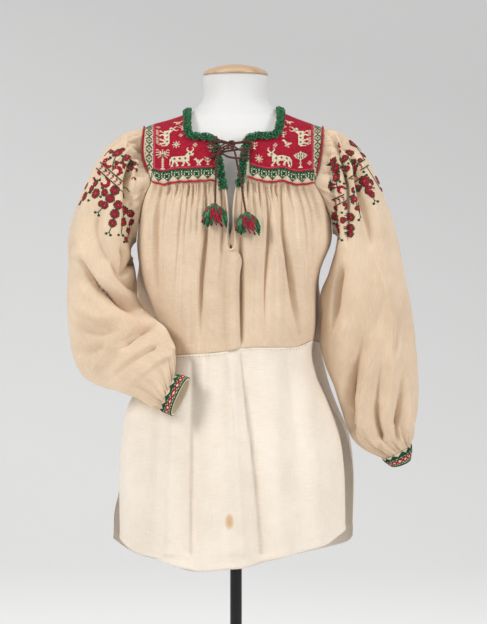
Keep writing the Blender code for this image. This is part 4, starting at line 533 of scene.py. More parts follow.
# Worked figures of the sleeves by sheet place
SLEEVE_WORK = {
    "left": {
        "bands": [((95.5, 162.7), (121.4, 185.4), 3.5)],
        "flowers": [
            (117.4, 153.4, 5.6, 10), (126.9, 156.9, 4.8, 40), (117.4, 163.8, 2.8, 0), (121.8, 162, 2.6, 20),
            (125.2, 166.4, 3, 0), (131.7, 168.1, 2.6, 10), (134.7, 163.8, 2.4, 0), (129.6, 161.6, 2.6, 30),
            (122.6, 150.4, 3, 10), (111.4, 152, 2.6, 0), (95.9, 183.2, 3.8, 0), (86.6, 186.2, 4, 20),
            (91.6, 188.6, 3.4, 0), (95.5, 193.5, 5.2, 15), (84.5, 196.4, 5, 30), (80.4, 203, 2.4, 0),
            (104.5, 192.5, 4, 0), (130.8, 213.8, 3.8, 0), (126.1, 239.7, 3.4, 0), (134, 178, 2.4, 0),
            (136, 170, 2.2, 0), (108.6, 198.6, 3.6, 12), (101, 203.6, 3.4, 0),
        ],
        "buds": [
            (108.4, 162.9, 5.6, 40, 1), (116.6, 171.1, 5.6, 200, 1), (96.3, 175.4, 5.2, 0, -1),
            (104.9, 182.3, 5.4, 180, -1),
        ],
        "stems": [
            [(111.4, 149.1), (108, 152), (104.5, 156)], [(112.5, 171), (113.2, 163), (116, 156)],
            [(101, 178), (97, 183), (93, 188), (86, 195), (78.7, 205)],
            [(119.2, 188.8), (122.6, 192.2), (124.3, 198.3)], [(126, 159), (131, 164), (136, 170)],
            [(121, 186.5), (126, 188), (130, 192)],
        ],
        "dots": [
            (110.4, 157.6, 1.7), (121.6, 172.4, 1.7), (91.4, 179.3, 1.7), (102.5, 187.8, 1.8),
            (113.5, 166.5, 1.5), (122.4, 156, 1.4), (99.8, 180, 1.5), (90, 192.6, 1.5), (88.6, 200.4, 1.5),
            (106, 170.8, 1.4), (130.4, 156, 1.4), (128, 171, 1.5), (100.6, 196.8, 1.6),
        ],
        "pendants": [
            ([(114.9, 190.5), (110.6, 198.3), (105.4, 204.3), (98.6, 212)], (5, 4.6, 4)),
            ([(118.3, 205), (114.6, 214.5), (111.8, 225.9), (109.2, 232)], (4.8, 4.8, 4.2)),
            ([(123.8, 210.5), (122.8, 221.9), (121.2, 232.8)], (4.6, 4.4)),
            ([(130.4, 222), (128.6, 232), (127, 240)], (3.6, 3.4)),
        ],
    },
    "right": {
        "bands": [
            ((333.1, 203.2), (345.2, 197.6), 3.3), ((351, 181.2), (358.2, 175.6), 3.2),
            ((358.5, 167.6), (368.4, 161.2), 3.4),
        ],
        "flowers": [
            (353.3, 143.9, 5.4, 10), (363.2, 154.7, 3.8, 0), (377.4, 180.1, 4.6, 10), (364.5, 181, 5.6, 20),
            (371.4, 182.3, 3.4, 0), (369.7, 190, 5.2, 0), (372.7, 194.8, 3, 30), (339.5, 145.2, 3, 0),
            (340.6, 150, 2.8, 20), (349.4, 153, 4.8, 10), (344.7, 158.6, 4, 0), (353.3, 162, 3.6, 20),
            (355, 199.1, 5.4, 0), (358.5, 207.7, 5.2, 20), (331.8, 162, 3.4, 0), (335.7, 168.1, 5.2, 10),
            (335.7, 177.1, 4.8, 30), (336.5, 216.3, 5.4, 0), (342.5, 220.2, 3.4, 20), (338.7, 227.9, 5.6, 10),
            (351.2, 217.2, 4.2, 0), (351.2, 227.9, 4, 20), (350.7, 234, 3.6, 0), (345.6, 206, 3.8, 0),
            (360.4, 160, 2.8, 0), (357.6, 188.6, 4, 0), (381.3, 189.6, 2.4, 0), (330.6, 186.2, 3, 0),
            (347, 168.6, 3.2, 0), (359.4, 148.4, 3, 0),
        ],
        "buds": [(352, 169.4, 5.4, 160, 1), (341.7, 190, 4.6, 90, 1), (371, 168.1, 4.6, 200, -1)],
        "stems": [
            [(334, 160), (336, 170), (336, 182), (339, 192)], [(346, 150), (349, 158), (353, 168), (354, 176)],
            [(355, 146), (360, 152), (364, 160)], [(366, 166), (371, 174), (380, 189)], [(330, 180), (331, 192)],
        ],
        "dots": [
            (360, 149.1, 1.6), (373.6, 173.7, 1.7), (363.7, 171.9, 1.6), (350.6, 196.9, 1.6), (337.8, 208.6, 1.7),
            (330, 182.7, 1.6), (330.9, 189.6, 1.6), (339, 171.6, 1.4), (331.6, 170, 1.4), (344, 183.6, 1.5),
            (340, 181.6, 1.4), (348.4, 163.4, 1.4), (357, 166, 1.5), (366.6, 175, 1.5), (361, 186.4, 1.5),
            (354, 191.8, 1.5), (342, 212.6, 1.4), (334, 223.4, 1.5), (346, 176, 1.4),
        ],
        "pendants": [
            ([(336, 208), (337.6, 222), (338.6, 230), (339.4, 238)], (2.6, 3, 2.8)),
            ([(353.6, 190), (356, 202), (358.6, 210), (360.4, 217)], (3, 2.8, 2.6)),
            ([(366, 184), (370, 192), (374.6, 200.4)], (3, 2.8)),
        ],
    },
}

# Lights: place, aim, size, power in watts, tint
LIGHTS = [
    ("key", (-3, -2.3, 2.6), (0, 0, 0.72), (1.3, 1.6), 88, (1, 0.985, 0.96)),
    ("second", (3.1, -2.2, 2.2), (0, 0, 0.68), (1.3, 1.6), 73, (1, 0.99, 0.98)),
    ("top", (0, -0.6, 3.3), (0, 0, 0.8), (1.2, 0.9), 22, (1, 1, 1)),
]
PAPER_FLOOR = (-4.2, 2.6, 5.2)
PAPER_TOP = 7.5
PAPER_HALF = 9.0
# Painted light: the backdrop paper glows, though it is no lamp
PAPER_PAINTED_GLOW = 0.28
# Painted shade on the backdrop paper: the lighter colour at its foot, the darker colour towards its top
PAPER_PAINTED_LIT_FOOT = (0.80, 0.80, 0.80)
PAPER_PAINTED_SHADE_TOP = (0.50, 0.50, 0.50)
AIR_TINT = (1.0, 1.0, 1.0)
AIR_STRENGTH = 0.27


def smooth(table, at):
    """Value at `at` of the smooth line through the rows (knot, value, value...) of a table."""
    rows = np.asarray(table, float)
    knots, values = rows[:, 0], rows[:, 1:]
    at = np.asarray(at, float)
    slopes = np.gradient(values, knots, axis=0)
    low = np.clip(np.searchsorted(knots, at, side="right") - 1, 0, len(knots) - 2)
    span = knots[low + 1] - knots[low]
    t = np.clip((at - knots[low]) / span, 0.0, 1.0)[..., None]
    span = span[..., None]
    first = (1 + 2 * t) * (1 - t) ** 2 * values[low]
    first += t * (1 - t) ** 2 * span * slopes[low]
    second = t * t * (3 - 2 * t) * values[low + 1]
    second += t * t * (t - 1) * span * slopes[low + 1]
    found = first + second
    return found[..., 0] if values.shape[1] == 1 else found


def place(column, row, depth):
    """Point in space of a sheet place that lies `depth` metres behind the centre plane."""
    column, row, depth = np.broadcast_arrays(*(np.asarray(v, float) for v in (column, row, depth)))
    scale = SQUARE * (1 + depth / EYE_DISTANCE)
    across = (column - CENTRE_COLUMN) * scale
    up = EYE_HEIGHT + (EYE_ROW - row) * scale
    return np.stack([across, depth, up], axis=-1)


def unit(vectors):
    """The vectors at length one."""
    return vectors / np.maximum(np.linalg.norm(vectors, axis=-1, keepdims=True), SMALLEST)


def circle(count):
    """Equal angles all round."""
    return np.arange(count) * 2 * math.pi / count


def squared(angles, power):
    """Cosine and sine of a rounded square; a power of 2 gives a circle."""
    cosine, sine = np.cos(angles), np.sin(angles)
    return np.sign(cosine) * np.abs(cosine) ** (2 / power), np.sign(sine) * np.abs(sine) ** (2 / power)


def outward(rings):
    """Outward normals of rings of points."""
    around = np.roll(rings, -1, axis=1) - np.roll(rings, 1, axis=1)
    normal = unit(np.cross(np.gradient(rings, axis=0), around))
    inwards = ((rings - rings.mean(axis=1, keepdims=True)) * normal).sum(axis=-1, keepdims=True) < 0
    return np.where(inwards, -normal, normal)


def between(rings, steps):
    """Rings at the given steps of a smooth run through rings of points."""
    table = np.column_stack([np.arange(len(rings)), rings.reshape(len(rings), -1)])
    return smooth(table, steps).reshape(len(steps), -1, 3)


def levelled(knots, values, at):
    """Smooth line through values that belong to knots."""
    return smooth(np.column_stack([knots, values]), at)


def body_ring(row):
    """Middle column, half width and the two depths of the garment's body at a sheet row."""
    left, right, front, back = np.moveaxis(smooth(BODY_ROWS, row), -1, 0)
    return (left + right) / 2, (right - left) / 2, front, back


def across_body(column, row):
    """Place of a column between the middle (0) and the sides (-1, 1) of the body."""
    middle, half = body_ring(row)[:2]
    return np.clip((column - middle) / half, -1.0, 1.0)


def body_point(share, row, behind=False, raised=0.0):
    """Point of the body's surface at a share across it, raised along the outward normal."""
    share = np.clip(np.asarray(share, float), -1.0, 1.0)
    middle, half, front, back = body_ring(row)
    depth = back if behind else front
    round_off = (1 - np.abs(share) ** BODY_POWER) ** (1 / BODY_POWER)
    sign = 1.0 if behind else -1.0
    column = middle + share * half
    back_off = sign * depth * round_off
    if behind:
        left_full, right_full = np.moveaxis(smooth(SIDE_FULLNESS, row), -1, 0)
        swell = np.exp(-((np.abs(share) - FULLNESS_PLACE) / FULLNESS_REACH) ** 2)
        swell = swell * (1 - np.abs(share) ** 20)
        full = np.where(share < 0, left_full, right_full)
        column = column + full * swell
        back_off = back_off + FULLNESS_DEPTH * swell * np.clip(np.abs(full) / 15, 0, 1)
    point = place(column, row, back_off)
    sideways = np.sign(share) * np.abs(share) ** (BODY_POWER - 1) / (half * SQUARE)
    outwards = sign * round_off ** (BODY_POWER - 1) / depth
    normal = unit(np.stack([sideways, outwards, np.zeros_like(sideways)], axis=-1))
    return point + normal * np.asarray(raised, float)[..., None]


def shoulder_row(column):
    """Sheet row of the shoulder line at a column."""
    leftward = np.asarray(column) < CENTRE_COLUMN
    return np.where(leftward, smooth(RIDGE_LEFT, column), smooth(RIDGE_RIGHT, column))


def yoke_row(column, share, behind=False):
    """Sheet row at a share of the way from the shoulder (0) to the yoke's seam (1)."""
    seam = BACK_YOKE_ROW if behind else smooth(YOKE_SEAM, column)
    ridge = shoulder_row(column)
    return ridge + (seam - ridge) * share


def yoke_base(column, share, behind):
    """Point of the yoke's solid at a column and a share from the shoulder down."""
    row = yoke_row(column, share, behind)
    seam = BACK_YOKE_ROW if behind else smooth(YOKE_SEAM, column)
    middle, half, front, back = body_ring(seam)
    across = np.clip(np.abs((column - middle) / half), 0, 1)
    depth = back if behind else front
    curl = (1 - (1 - np.clip(share, 0, 1)) ** YOKE_POWER) ** (1 / YOKE_POWER)
    reach = depth * (1 - across ** BODY_POWER) ** (1 / BODY_POWER) * curl
    return place(column, row, reach if behind else -reach)


def yoke_point(column, share, behind=False, raised=0.0):
    """Point of the yoke at a column and a share from the shoulder down, raised outwards."""
    column, share = np.broadcast_arrays(np.asarray(column, float), np.asarray(share, float))
    step = 0.004
    low = np.clip(share, step, 1 - step)
    down = yoke_base(column, low + step, behind) - yoke_base(column, low - step, behind)
    across = yoke_base(column + 0.5, low, behind) - yoke_base(column - 0.5, low, behind)
    normal = unit(np.cross(down, across))
    normal = -normal if behind else normal
    return yoke_base(column, share, behind) + normal * np.asarray(raised, float)[..., None]


def run_of(points):
    """Metres along a line of points, from its start."""
    return np.concatenate([[0], np.cumsum(np.linalg.norm(np.diff(points, axis=0), axis=1))])


def along(points, shares):
    """Points at equal shares of the length of a broken line."""
    points = np.asarray(points, float)
    length = run_of(points)
    return levelled(length / length[-1], points, np.asarray(shares, float))


def armhole(side, shares, behind=False):
    """Edge of the armhole from the shoulder (0) to the underarm (1)."""
    lower = np.asarray(ARMHOLES[side, behind], float)
    upper = []
    for down in (0.0, 0.02, 0.06, 0.14, 0.26, 0.42, 0.6, 0.8):
        outer = back_outer(side, down) if behind else smooth(YOKE_OUTER[side], down)
        upper.append(yoke_point(outer, down, behind))
    under = body_point(across_body(lower[:, 0], lower[:, 1]), lower[:, 1], behind)
    return along(np.vstack([upper, under]), shares)


def back_outer(side, share):
    """Outer column of the back yoke at a share from the shoulder down."""
    start = smooth(YOKE_OUTER[side], 0.0)
    return start + (ARMHOLES[side, True][0][0] - start) * np.asarray(share) ** 2


def uneven(k, low, high):
    """A value between low and high that differs from one neighbour to the next."""
    turn = GOLDEN_TURN * np.asarray(k, float)
    return low + (high - low) * (0.5 + 0.3 * np.sin(turn) + 0.2 * np.sin(1.7 * turn + 1.0))


class Amount:
    """A number that varies over a finish, for the usual operators."""

    def __init__(self, finish, socket):
        self.finish = finish
        self.socket = socket

    def use(self, operation, *values):
        return self.finish.number("ShaderNodeMath", {"operation": operation}, *values)

    def __add__(self, other):
        return self.use("ADD", self, other)

    def __sub__(self, other):
        return self.use("SUBTRACT", self, other)

    def __rsub__(self, other):
        return self.use("SUBTRACT", other, self)

    def __mul__(self, other):
        return self.use("MULTIPLY", self, other)

    def __gt__(self, other):
        return self.use("GREATER_THAN", self, other)

    def sine(self):
        return self.use("SINE", self)

    def size(self):
        return self.use("ABSOLUTE", self)

    def held(self):
        """The number kept between 0 and 1."""
        return self.finish.number("ShaderNodeClamp", {}, self)

    __radd__ = __add__
    __rmul__ = __mul__


class Finish:
    """One material: its shader's fixed values, and nodes for what varies."""

    def __init__(self, name, **fixed):
        self.material = bpy.data.materials.new(name)
        self.material.use_nodes = True
        self.nodes = self.material.node_tree.nodes
        self.links = self.material.node_tree.links
        self.shader = self.nodes["Principled BSDF"]
        for socket, value in fixed.items():
            self.shader.inputs[socket.replace("_", " ")].default_value = value

    def put(self, socket, value):
        if isinstance(value, Amount):
            value = value.socket
        if isinstance(value, bpy.types.NodeSocket):
            self.links.new(value, socket)
        elif isinstance(value, tuple) and len(value) == 3 and socket.type == "RGBA":
            socket.default_value = (*value, 1.0)
        else:
            socket.default_value = value

    def node(self, kind, settings, *values, **named):
        made = self.nodes.new(kind)
        for key, value in settings.items():
            if key == "stops":
                ramp = made.color_ramp
                while len(ramp.elements) < len(value):
                    ramp.elements.new(0.5)
                for stop, (at, colour) in zip(ramp.elements, value):
                    stop.position = at
                    stop.color = (*colour, 1.0)
            else:
                setattr(made, key, value)
        for k, value in enumerate(values):
            self.put(made.inputs[k], value)
        for key, value in named.items():
            self.put(made.inputs[key], value)
        return made

    def number(self, kind, settings, *values, **named):
        return Amount(self, self.node(kind, settings, *values, **named).outputs[0])

    def noise(self, where, scale, detail=2.0, roughness=0.5):
        made = self.node("ShaderNodeTexNoise", {}, Vector=where, Scale=scale, Detail=detail,
                         Roughness=roughness)
        return Amount(self, made.outputs[0])

    def object_place(self):
        return self.node("ShaderNodeTexCoord", {}).outputs["Object"]

    def parts(self, where):
        """The three parts of a vector."""
        return [Amount(self, part) for part in self.node("ShaderNodeSeparateXYZ", {}, where).outputs]

    def cut_place(self):
        """Place on the flat cut in metres, across and down."""
        return self.parts(self.node("ShaderNodeUVMap", {"uv_map": "cut"}).outputs[0])[:2]

    def stretched(self, where, scale):
        return self.node("ShaderNodeMapping", {}, where, Scale=scale).outputs[0]

    def vector(self, x, y, z=0.0):
        return self.node("ShaderNodeCombineXYZ", {}, x, y, z).outputs[0]

    def mix(self, share, first, second):
        made = self.node("ShaderNodeMix", {"data_type": "RGBA"})
        self.put(made.inputs[0], share)
        self.put(made.inputs[6], first)
        self.put(made.inputs[7], second)
        return made.outputs[2]

    def colour(self, value):
        self.put(self.shader.inputs["Base Color"], value)

    def rough(self, value):
        self.put(self.shader.inputs["Roughness"], value)

    def relief(self, height):
        """Surface relief, its height in metres."""
        bump = self.node("ShaderNodeBump", {}, Strength=1.0, Distance=1.0, Height=height)
        self.put(self.shader.inputs["Normal"], bump.outputs[0])


def linen(name, light, dark, stained=False):
    """Plain-woven linen: threads, slubs, soft tone changes and small crumples."""
    cloth = Finish(name, Roughness=0.9, Sheen_Weight=0.18, Sheen_Roughness=0.6)
    across, down = cloth.cut_place()
    where = cloth.object_place()
    pitch = math.pi / WEAVE_PITCH
    weave = (across * pitch).sine() * (down * pitch).sine()
    weft = cloth.noise(cloth.vector(across * 45.0, down * 900.0), 1.0, 3.0)
    warp = cloth.noise(cloth.vector(across * 900.0, down * 45.0), 1.0, 3.0)
    broad = cloth.noise(where, 7.0, 3.0)
    patch = cloth.noise(where, 26.0, 2.0)
    tone = 0.56 + (broad - 0.5) * 1.5 + (patch - 0.5) * 0.7 + (weft - 0.5) * 1.3 + (warp - 0.5) * 1.0
    shade = cloth.mix(tone.held(), dark, light)
    if stained:
        x, y, z = cloth.parts(where)
        side = (x - STAIN_PLACE[0]) * (1 / STAIN_SIZE[0])
        up = (z - STAIN_PLACE[1]) * (1 / STAIN_SIZE[1])
        ragged = (patch - 0.5) * 1.6 + (weft - 0.5) * 0.8
        spot = (1.0 - side * side - up * up + ragged).held() * 0.72 * ((0 - y) > 0)
        shade = cloth.mix(spot, shade, STAIN_COLOUR)
    cloth.colour(shade)
    crumple = cloth.noise(where, 38.0, 3.0, 0.55)
    cloth.relief(weave * 0.00004 + weft * 0.00007 + warp * 0.00006 + crumple * 0.0011)
    return cloth.material


def thread(name, light, dark, strand=1900.0, relief=0.00022, sheen=0.25):
    """Spun thread or wool: tone changes from strand to strand."""
    yarn = Finish(name, Roughness=0.78, Specular_IOR_Level=0.25, Sheen_Weight=sheen, Sheen_Roughness=0.45)
    where = yarn.object_place()
    fine = yarn.noise(where, strand, 2.0)
    broad = yarn.noise(where, strand / 9, 2.0)
    tone = (fine - 0.5) * 2.2 + (broad - 0.5) * 1.6 + 0.5
    yarn.colour(yarn.mix(tone.held(), dark, light))
    yarn.relief(fine * relief)
    return yarn.material


def laid_cord(name, first, second, pitch):
    """Cord laid of two yarns: its colour changes along it at the pitch of the lay."""
    cord = Finish(name, Roughness=0.75, Specular_IOR_Level=0.25, Sheen_Weight=0.1)
    where = cord.object_place()
    x, _, z = cord.parts(where)
    fine = cord.noise(where, 900.0, 2.0)
    share = 0.5 + ((x * 0.8 + z) * (2 * math.pi / pitch)).sine() * 1.6 + (fine - 0.5) * 0.8
    cord.colour(cord.mix(share.held(), first, second))
    cord.relief(fine * 0.0002)
    return cord.material


def jersey(name):
    """Smooth white stretch cover."""
    cover = Finish(name, Roughness=0.62, Sheen_Weight=0.12)
    where = cover.object_place()
    soft = cover.noise(where, 9.0, 3.0)
    rib = cover.noise(cover.stretched(where, (900.0, 900.0, 260.0)), 1.0)
    cover.colour(cover.mix((soft * 0.7 + rib * 0.3).held(), (0.68, 0.68, 0.675), (0.745, 0.745, 0.74)))
    cover.relief(rib * 0.00006)
    return cover.material


def turned_wood(name):
    """Pale satin wood with fine rings and pores."""
    wood = Finish(name, Roughness=0.42, Coat_Weight=0.25, Coat_Roughness=0.3)
    where = wood.object_place()
    streak = wood.noise(wood.stretched(where, (9.0, 110.0, 40.0)), 1.0, 4.0, 0.6)
    pores = wood.noise(wood.stretched(where, (60.0, 900.0, 300.0)), 1.0)
    tone = (streak - 0.5) * 2.0 + (pores - 0.5) * 0.6 + 0.5
    wood.colour(wood.mix(tone.held(), (0.46, 0.28, 0.15), (0.66, 0.46, 0.29)))
    wood.rough(0.36 + pores * 0.16)
    wood.relief(pores * 0.00005)
    return wood.material


def black_metal(name):
    """Black satin paint over steel, slightly dusty."""
    paint = Finish(name, Specular_IOR_Level=0.3, Coat_Weight=0.15, Coat_Roughness=0.25)
    where = paint.object_place()
    dust = paint.noise(where, 30.0, 4.0)
    grit = paint.noise(where, 900.0, 1.0)
    paint.colour(paint.mix(dust, (0.0035, 0.0037, 0.0045), (0.009, 0.009, 0.010)))
    paint.rough(0.24 + dust * 0.22)
    paint.relief(grit * 0.00003)
    return paint.material


def backdrop(name, low, high):
    """Studio paper with painted shade: its colour darkens upwards and to the right, and it glows as painted
    light.
    """
    # painted light: the paper glows
    paper = Finish(name, Roughness=0.95, Specular_IOR_Level=0.0, Emission_Color=(1.0, 1.0, 1.0, 1.0),
                   Emission_Strength=PAPER_PAINTED_GLOW)
    where = paper.object_place()
    x, _, z = paper.parts(where)
    # painted shade: the darker colour grows with height and towards the right
    height = z * 0.55 + x * 0.20
    soft = paper.noise(where, 0.7, 1.0)
    paper.colour(paper.mix((height + (soft - 0.5) * 0.2).held(), low, high))
    return paper.material


def in_scene(name, data):
    """A new object in the scene."""
    made = bpy.data.objects.new(name, data)
    bpy.context.scene.collection.objects.link(made)
    return made


def mesh_piece(name, verts, faces, finish, slot, replaces=(), cut=None, wall=0.0):
    """A piece that rides on the part, from its points and faces."""
    data = bpy.data.meshes.new(name)
    verts = np.asarray(verts, float).reshape(-1, 3)
    faces = [tuple(int(k) for k in face) for face in faces]
    data.from_pydata(verts.tolist(), [], faces)
    data.shade_smooth()
    data.materials.append(finish)
    if cut is not None:
        layer = data.uv_layers.new(name="cut")
        corner = np.zeros(len(data.loops), int)
        data.loops.foreach_get("vertex_index", corner)
        layer.data.foreach_set("uv", np.asarray(cut, float).reshape(-1, 2)[corner].ravel())
    made = in_scene(name, data)
    if wall:
        shell = made.modifiers.new("wall", "SOLIDIFY")
        shell.thickness = wall
        shell.offset = -1.0
    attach(made, "root")
    if replaces:
        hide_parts(*replaces)
    return made


def grid_faces(down, across, wrap=False, left_out=None, caps=False):
    """Faces of a grid of points; left_out is true where a face is missing, and caps close its ends."""
    faces = []
    for i in range(down - 1):
        for j in range(across if wrap else across - 1):
            if left_out is not None and left_out[i, j]:
                continue
            k = (j + 1) % across
            faces.append((i * across + j, (i + 1) * across + j, (i + 1) * across + k, i * across + k))
    if caps:
        faces += [tuple(range(across))[::-1], tuple((down - 1) * across + k for k in range(across))]
    return faces


def cut_of(points):
    """Place of each grid point on the flat cut, in metres."""
    across, down = np.zeros(points.shape[:2]), np.zeros(points.shape[:2])
    across[:, 1:] = np.cumsum(np.linalg.norm(np.diff(points, axis=1), axis=-1), axis=1)
    down[1:] = np.cumsum(np.linalg.norm(np.diff(points, axis=0), axis=-1), axis=0)
    return np.stack([across, down], axis=-1)


def cloth(name, points, finish, slot, replaces, centre=None, wrap=False, left_out=None, wall=CLOTH):
    """Cloth shell over a grid of outer points, and a tree of its outer side."""
    points = np.asarray(points, float)
    down, across = points.shape[:2]
    faces = grid_faces(down, across, wrap, left_out)
    flat = points.reshape(-1, 3)
    middle = flat.mean(axis=0) if centre is None else centre
    corners = flat[np.asarray(faces)]
    normal = np.cross(corners[:, 2] - corners[:, 0], corners[:, 3] - corners[:, 1])
    if wrap:
        axis = points.mean(axis=1)
        middle = np.repeat(axis, across, axis=0)[np.asarray(faces)[:, 0]]
    if (normal * (corners.mean(axis=1) - middle)).sum() < 0:
        faces = [face[::-1] for face in faces]
    made = mesh_piece(name, flat, faces, finish, slot, replaces, cut_of(points), wall)
    used = np.unique(np.asarray(faces))
    if len(used) < len(flat):
        drop_loose(made.data)
    return made, BVHTree.FromPolygons(flat.tolist(), faces)


def drop_loose(data):
    """Takes out points that no face uses."""
    shell = bmesh.new()
    shell.from_mesh(data)
    bmesh.ops.delete(shell, geom=[v for v in shell.verts if not v.link_faces], context="VERTS")
    shell.to_mesh(data)
    shell.free()


def folds_height(column, row, folds):
    """Height in metres of upright folds, each a table of row, column, millimetres, half width."""
    height = np.zeros(np.broadcast(column, row).shape)
    for fold in folds:
        table = np.asarray(fold, float)
        middle, rise, reach = np.moveaxis(smooth(table, row), -1, 0)
        inside = (row >= table[0, 0] - 1) & (row <= table[-1, 0] + 1)
        off = (column - middle) / reach
        turned = np.where(middle < CENTRE_COLUMN, 1.0, -1.0)
        wide = 1 + STEEP_SIDE * 0.9 * np.tanh(off * turned * 1.5)
        height += inside * rise * FOLD_SCALE * np.exp(-np.abs(off / wide) ** CREASE_POWER)
    return height


def gathers(table, deepen):
    """Folds from a table of gathers: a column and a depth at each level."""
    folds = []
    for k, row in enumerate(table):
        reach = (1.5, uneven(k, 1.9, 2.9), uneven(k + 3, 2.4, 4.4), uneven(k + 5, 3.0, 5.0))
        folds.append([(level, c, -d * deepen, w) for level, c, d, w in zip(FOLD_LEVELS, row[:4], row[4:], reach)])
    return folds


def small_gathers(first, last, pitch, top, longest=40):
    """The short pleats that lie between the gathers under the seam."""
    folds = []
    for k, column in enumerate(np.arange(first, last, pitch)):
        at = column + uneven(k, -0.7, 0.7)
        foot = top + uneven(k + 2, 0.35, 1.0) * longest
        spread = (at - FOLD_CENTRE) * 0.05
        folds.append([(top - 4, at, -uneven(k, 1.2, 3.4), 0.8), (top + 9, at, -uneven(k + 1, 0.6, 4.2), 1.0),
                      (foot, at + spread, 0.0, 1.5)])
    return folds


def crumple(points, size):
    """Small unevenness of worn cloth."""
    x, y, z = np.moveaxis(points, -1, 0)
    wave = np.sin(41 * x + 23 * z + 9 * y) * np.sin(29 * z - 17 * x + 4)
    wave = wave + 0.6 * np.sin(88 * x + 61 * z + 40 * y + 1.3) * np.sin(73 * z - 66 * x)
    return wave * size


def side_columns(side, behind, count):
    """Shares at the four levels beyond a side's last gather, and top rows, of columns along the armhole."""
    edge = np.asarray(ARMHOLES[side, behind], float)
    at = np.linspace(0, 1, count + 1)[1:]
    edge = levelled(np.linspace(0, 1, len(edge)), edge, at)
    inner = [across_body(column, row) for column, row in zip(FOLD_ENDS[side, behind], FOLD_LEVELS)]
    sign = -1 if side == "left" else 1
    lower = [sign * (1 - (1 - abs(inner[m])) * (1 - at) ** 1.6) for m in (1, 2, 3)]
    return np.array(inner), np.array([across_body(edge[:, 0], edge[:, 1]), *lower]), edge[:, 1]


def hang(shares, tops, downs, folds, behind, pleat=None):
    """Points of an upper panel from its columns' shares (rows by columns) and top rows."""
    downs = downs[:, None]
    middle, half = body_ring(WAIST_ROW)[:2]
    foot = smooth(WAIST_SEAM, middle + shares[-1] * half)
    row = tops[None] + (foot - tops)[None] * downs
    row = np.where(downs < 1e-6, row + SEAM_GAP / SQUARE, row)
    row = np.where(downs > 1 - 1e-6, row + 0.4, row)
    middle, half = body_ring(row)[:2]
    column = middle + shares * half
    height = folds_height(column, row, folds)
    puff = PUFF * np.exp(-((row - PUFF_ROW) / PUFF_REACH) ** 2)
    height = height + puff * np.clip((row - YOKE_ROW) / 9, 0, 1)
    height = height + crumple(place(column, row, 0.0 * row), CRUMPLES["upper"])
    edge = np.clip((1 - np.abs(shares) ** 14), 0, 1)
    seam = np.clip(downs * 40, 0.5, 1) * np.clip((1 - downs) * 14, 0.15, 1)
    height = height * edge * seam
    if pleat is not None:
        height = height * (1 - pleat[0]) + pleat[1]
    return body_point(shares, row, behind, height)


def front_cloth():
    """Gathered upper front: two halves that meet in the raised pleat below the slit."""
    downs = np.concatenate([np.linspace(0, 0.3, 34), np.linspace(0.3, 1, 57)[1:]])
    ring_middle, ring_half = body_ring(YOKE_ROW)[:2]
    fields, tops = {}, {}
    for side, edge in zip(SIDES, ((0, 1), (0, 2))):
        inner, lanes, side_tops = side_columns(side, False, 18)
        outer = levelled(LEVEL_SHARES, inner, downs)
        middle, half = body_ring(YOKE_ROW + 170.0 * downs)[:2]
        slit_share = (smooth(np.asarray(SLIT_AND_PLEAT, float)[:, edge], downs) - middle) / half
        field = outer[:, None] + (slit_share - outer)[:, None] * np.linspace(0, 1, 128)[None]
        top = smooth(YOKE_SEAM, ring_middle + field[0] * ring_half)
        field = np.concatenate([levelled(LEVEL_SHARES, lanes, downs)[:, ::-1], field], axis=1)
        turned = slice(None) if side == "left" else slice(None, None, -1)
        fields[side] = field[:, turned]
        tops[side] = np.concatenate([side_tops[::-1], top])[turned]
    left, right = fields["left"], fields["right"]
    lanes = np.linspace(0, 1, 11)[1:-1]
    centre = left[:, -1:] + (right[:, :1] - left[:, -1:]) * lanes[None]
    centre_tops = smooth(YOKE_SEAM, ring_middle + centre[0] * ring_half)
    shares = np.concatenate([left, centre, right], axis=1)
    rise = smooth(PLEAT_RISE, downs)
    first = left.shape[1]
    crown, mask = np.zeros(shares.shape[1]), np.zeros(shares.shape[1])
    crown[first:first + len(lanes)] = np.clip(np.sin(math.pi * lanes) * 1.35 + 0.25 * lanes, 0, 1.1)
    mask[first - 2:first + len(lanes) + 2] = 1.0
    pleat = (mask[None] * np.ones_like(shares), CENTRE_PLEAT * rise[:, None] * crown[None])
    folds = gathers(FRONT_FOLDS_LEFT, 1.9) + gathers(FRONT_FOLDS_RIGHT, 1.9)
    folds += small_gathers(154, 222, 2.6, 183) + small_gathers(243, 314, 2.6, 183) + FRONT_MARKS
    points = hang(shares, np.concatenate([tops["left"], centre_tops, tops["right"]]), downs, folds, False, pleat)
    open_rows = (downs[:-1] < SLIT_FOOT)[:, None]
    gap = np.zeros(shares.shape[1] - 1, bool)
    gap[first - 1:first + len(lanes)] = True
    return cloth("upper_front", points, TAN_LINEN, "linen", ["front_upper"],
                 left_out=open_rows & gap[None], centre=np.array([0, 0.05, 0.75]))


def back_cloth():
    """Gathered upper back."""
    left, lanes_left, tops_left = side_columns("left", True, 16)
    right, lanes_right, tops_right = side_columns("right", True, 16)
    part = np.linspace(0, 1, 150)
    middle = left[:, None] + (right - left)[:, None] * part[None]
    downs = np.linspace(0, 1, 80)
    shares = levelled(LEVEL_SHARES, np.concatenate([lanes_left[:, ::-1], middle, lanes_right], axis=1), downs)
    tops = np.concatenate([tops_left[::-1], np.full(len(part), BACK_YOKE_ROW), tops_right])
    points = hang(shares, tops, downs, gathers(BACK_FOLDS, 1.6) + small_gathers(152, 314, 3.3, 170), True)
    points[:, (0, -1), 1] += WALL + SEAM_GAP
    return cloth("upper_back", points, TAN_LINEN, "linen", ["back_upper"], centre=np.array([0, -0.05, 0.75]))


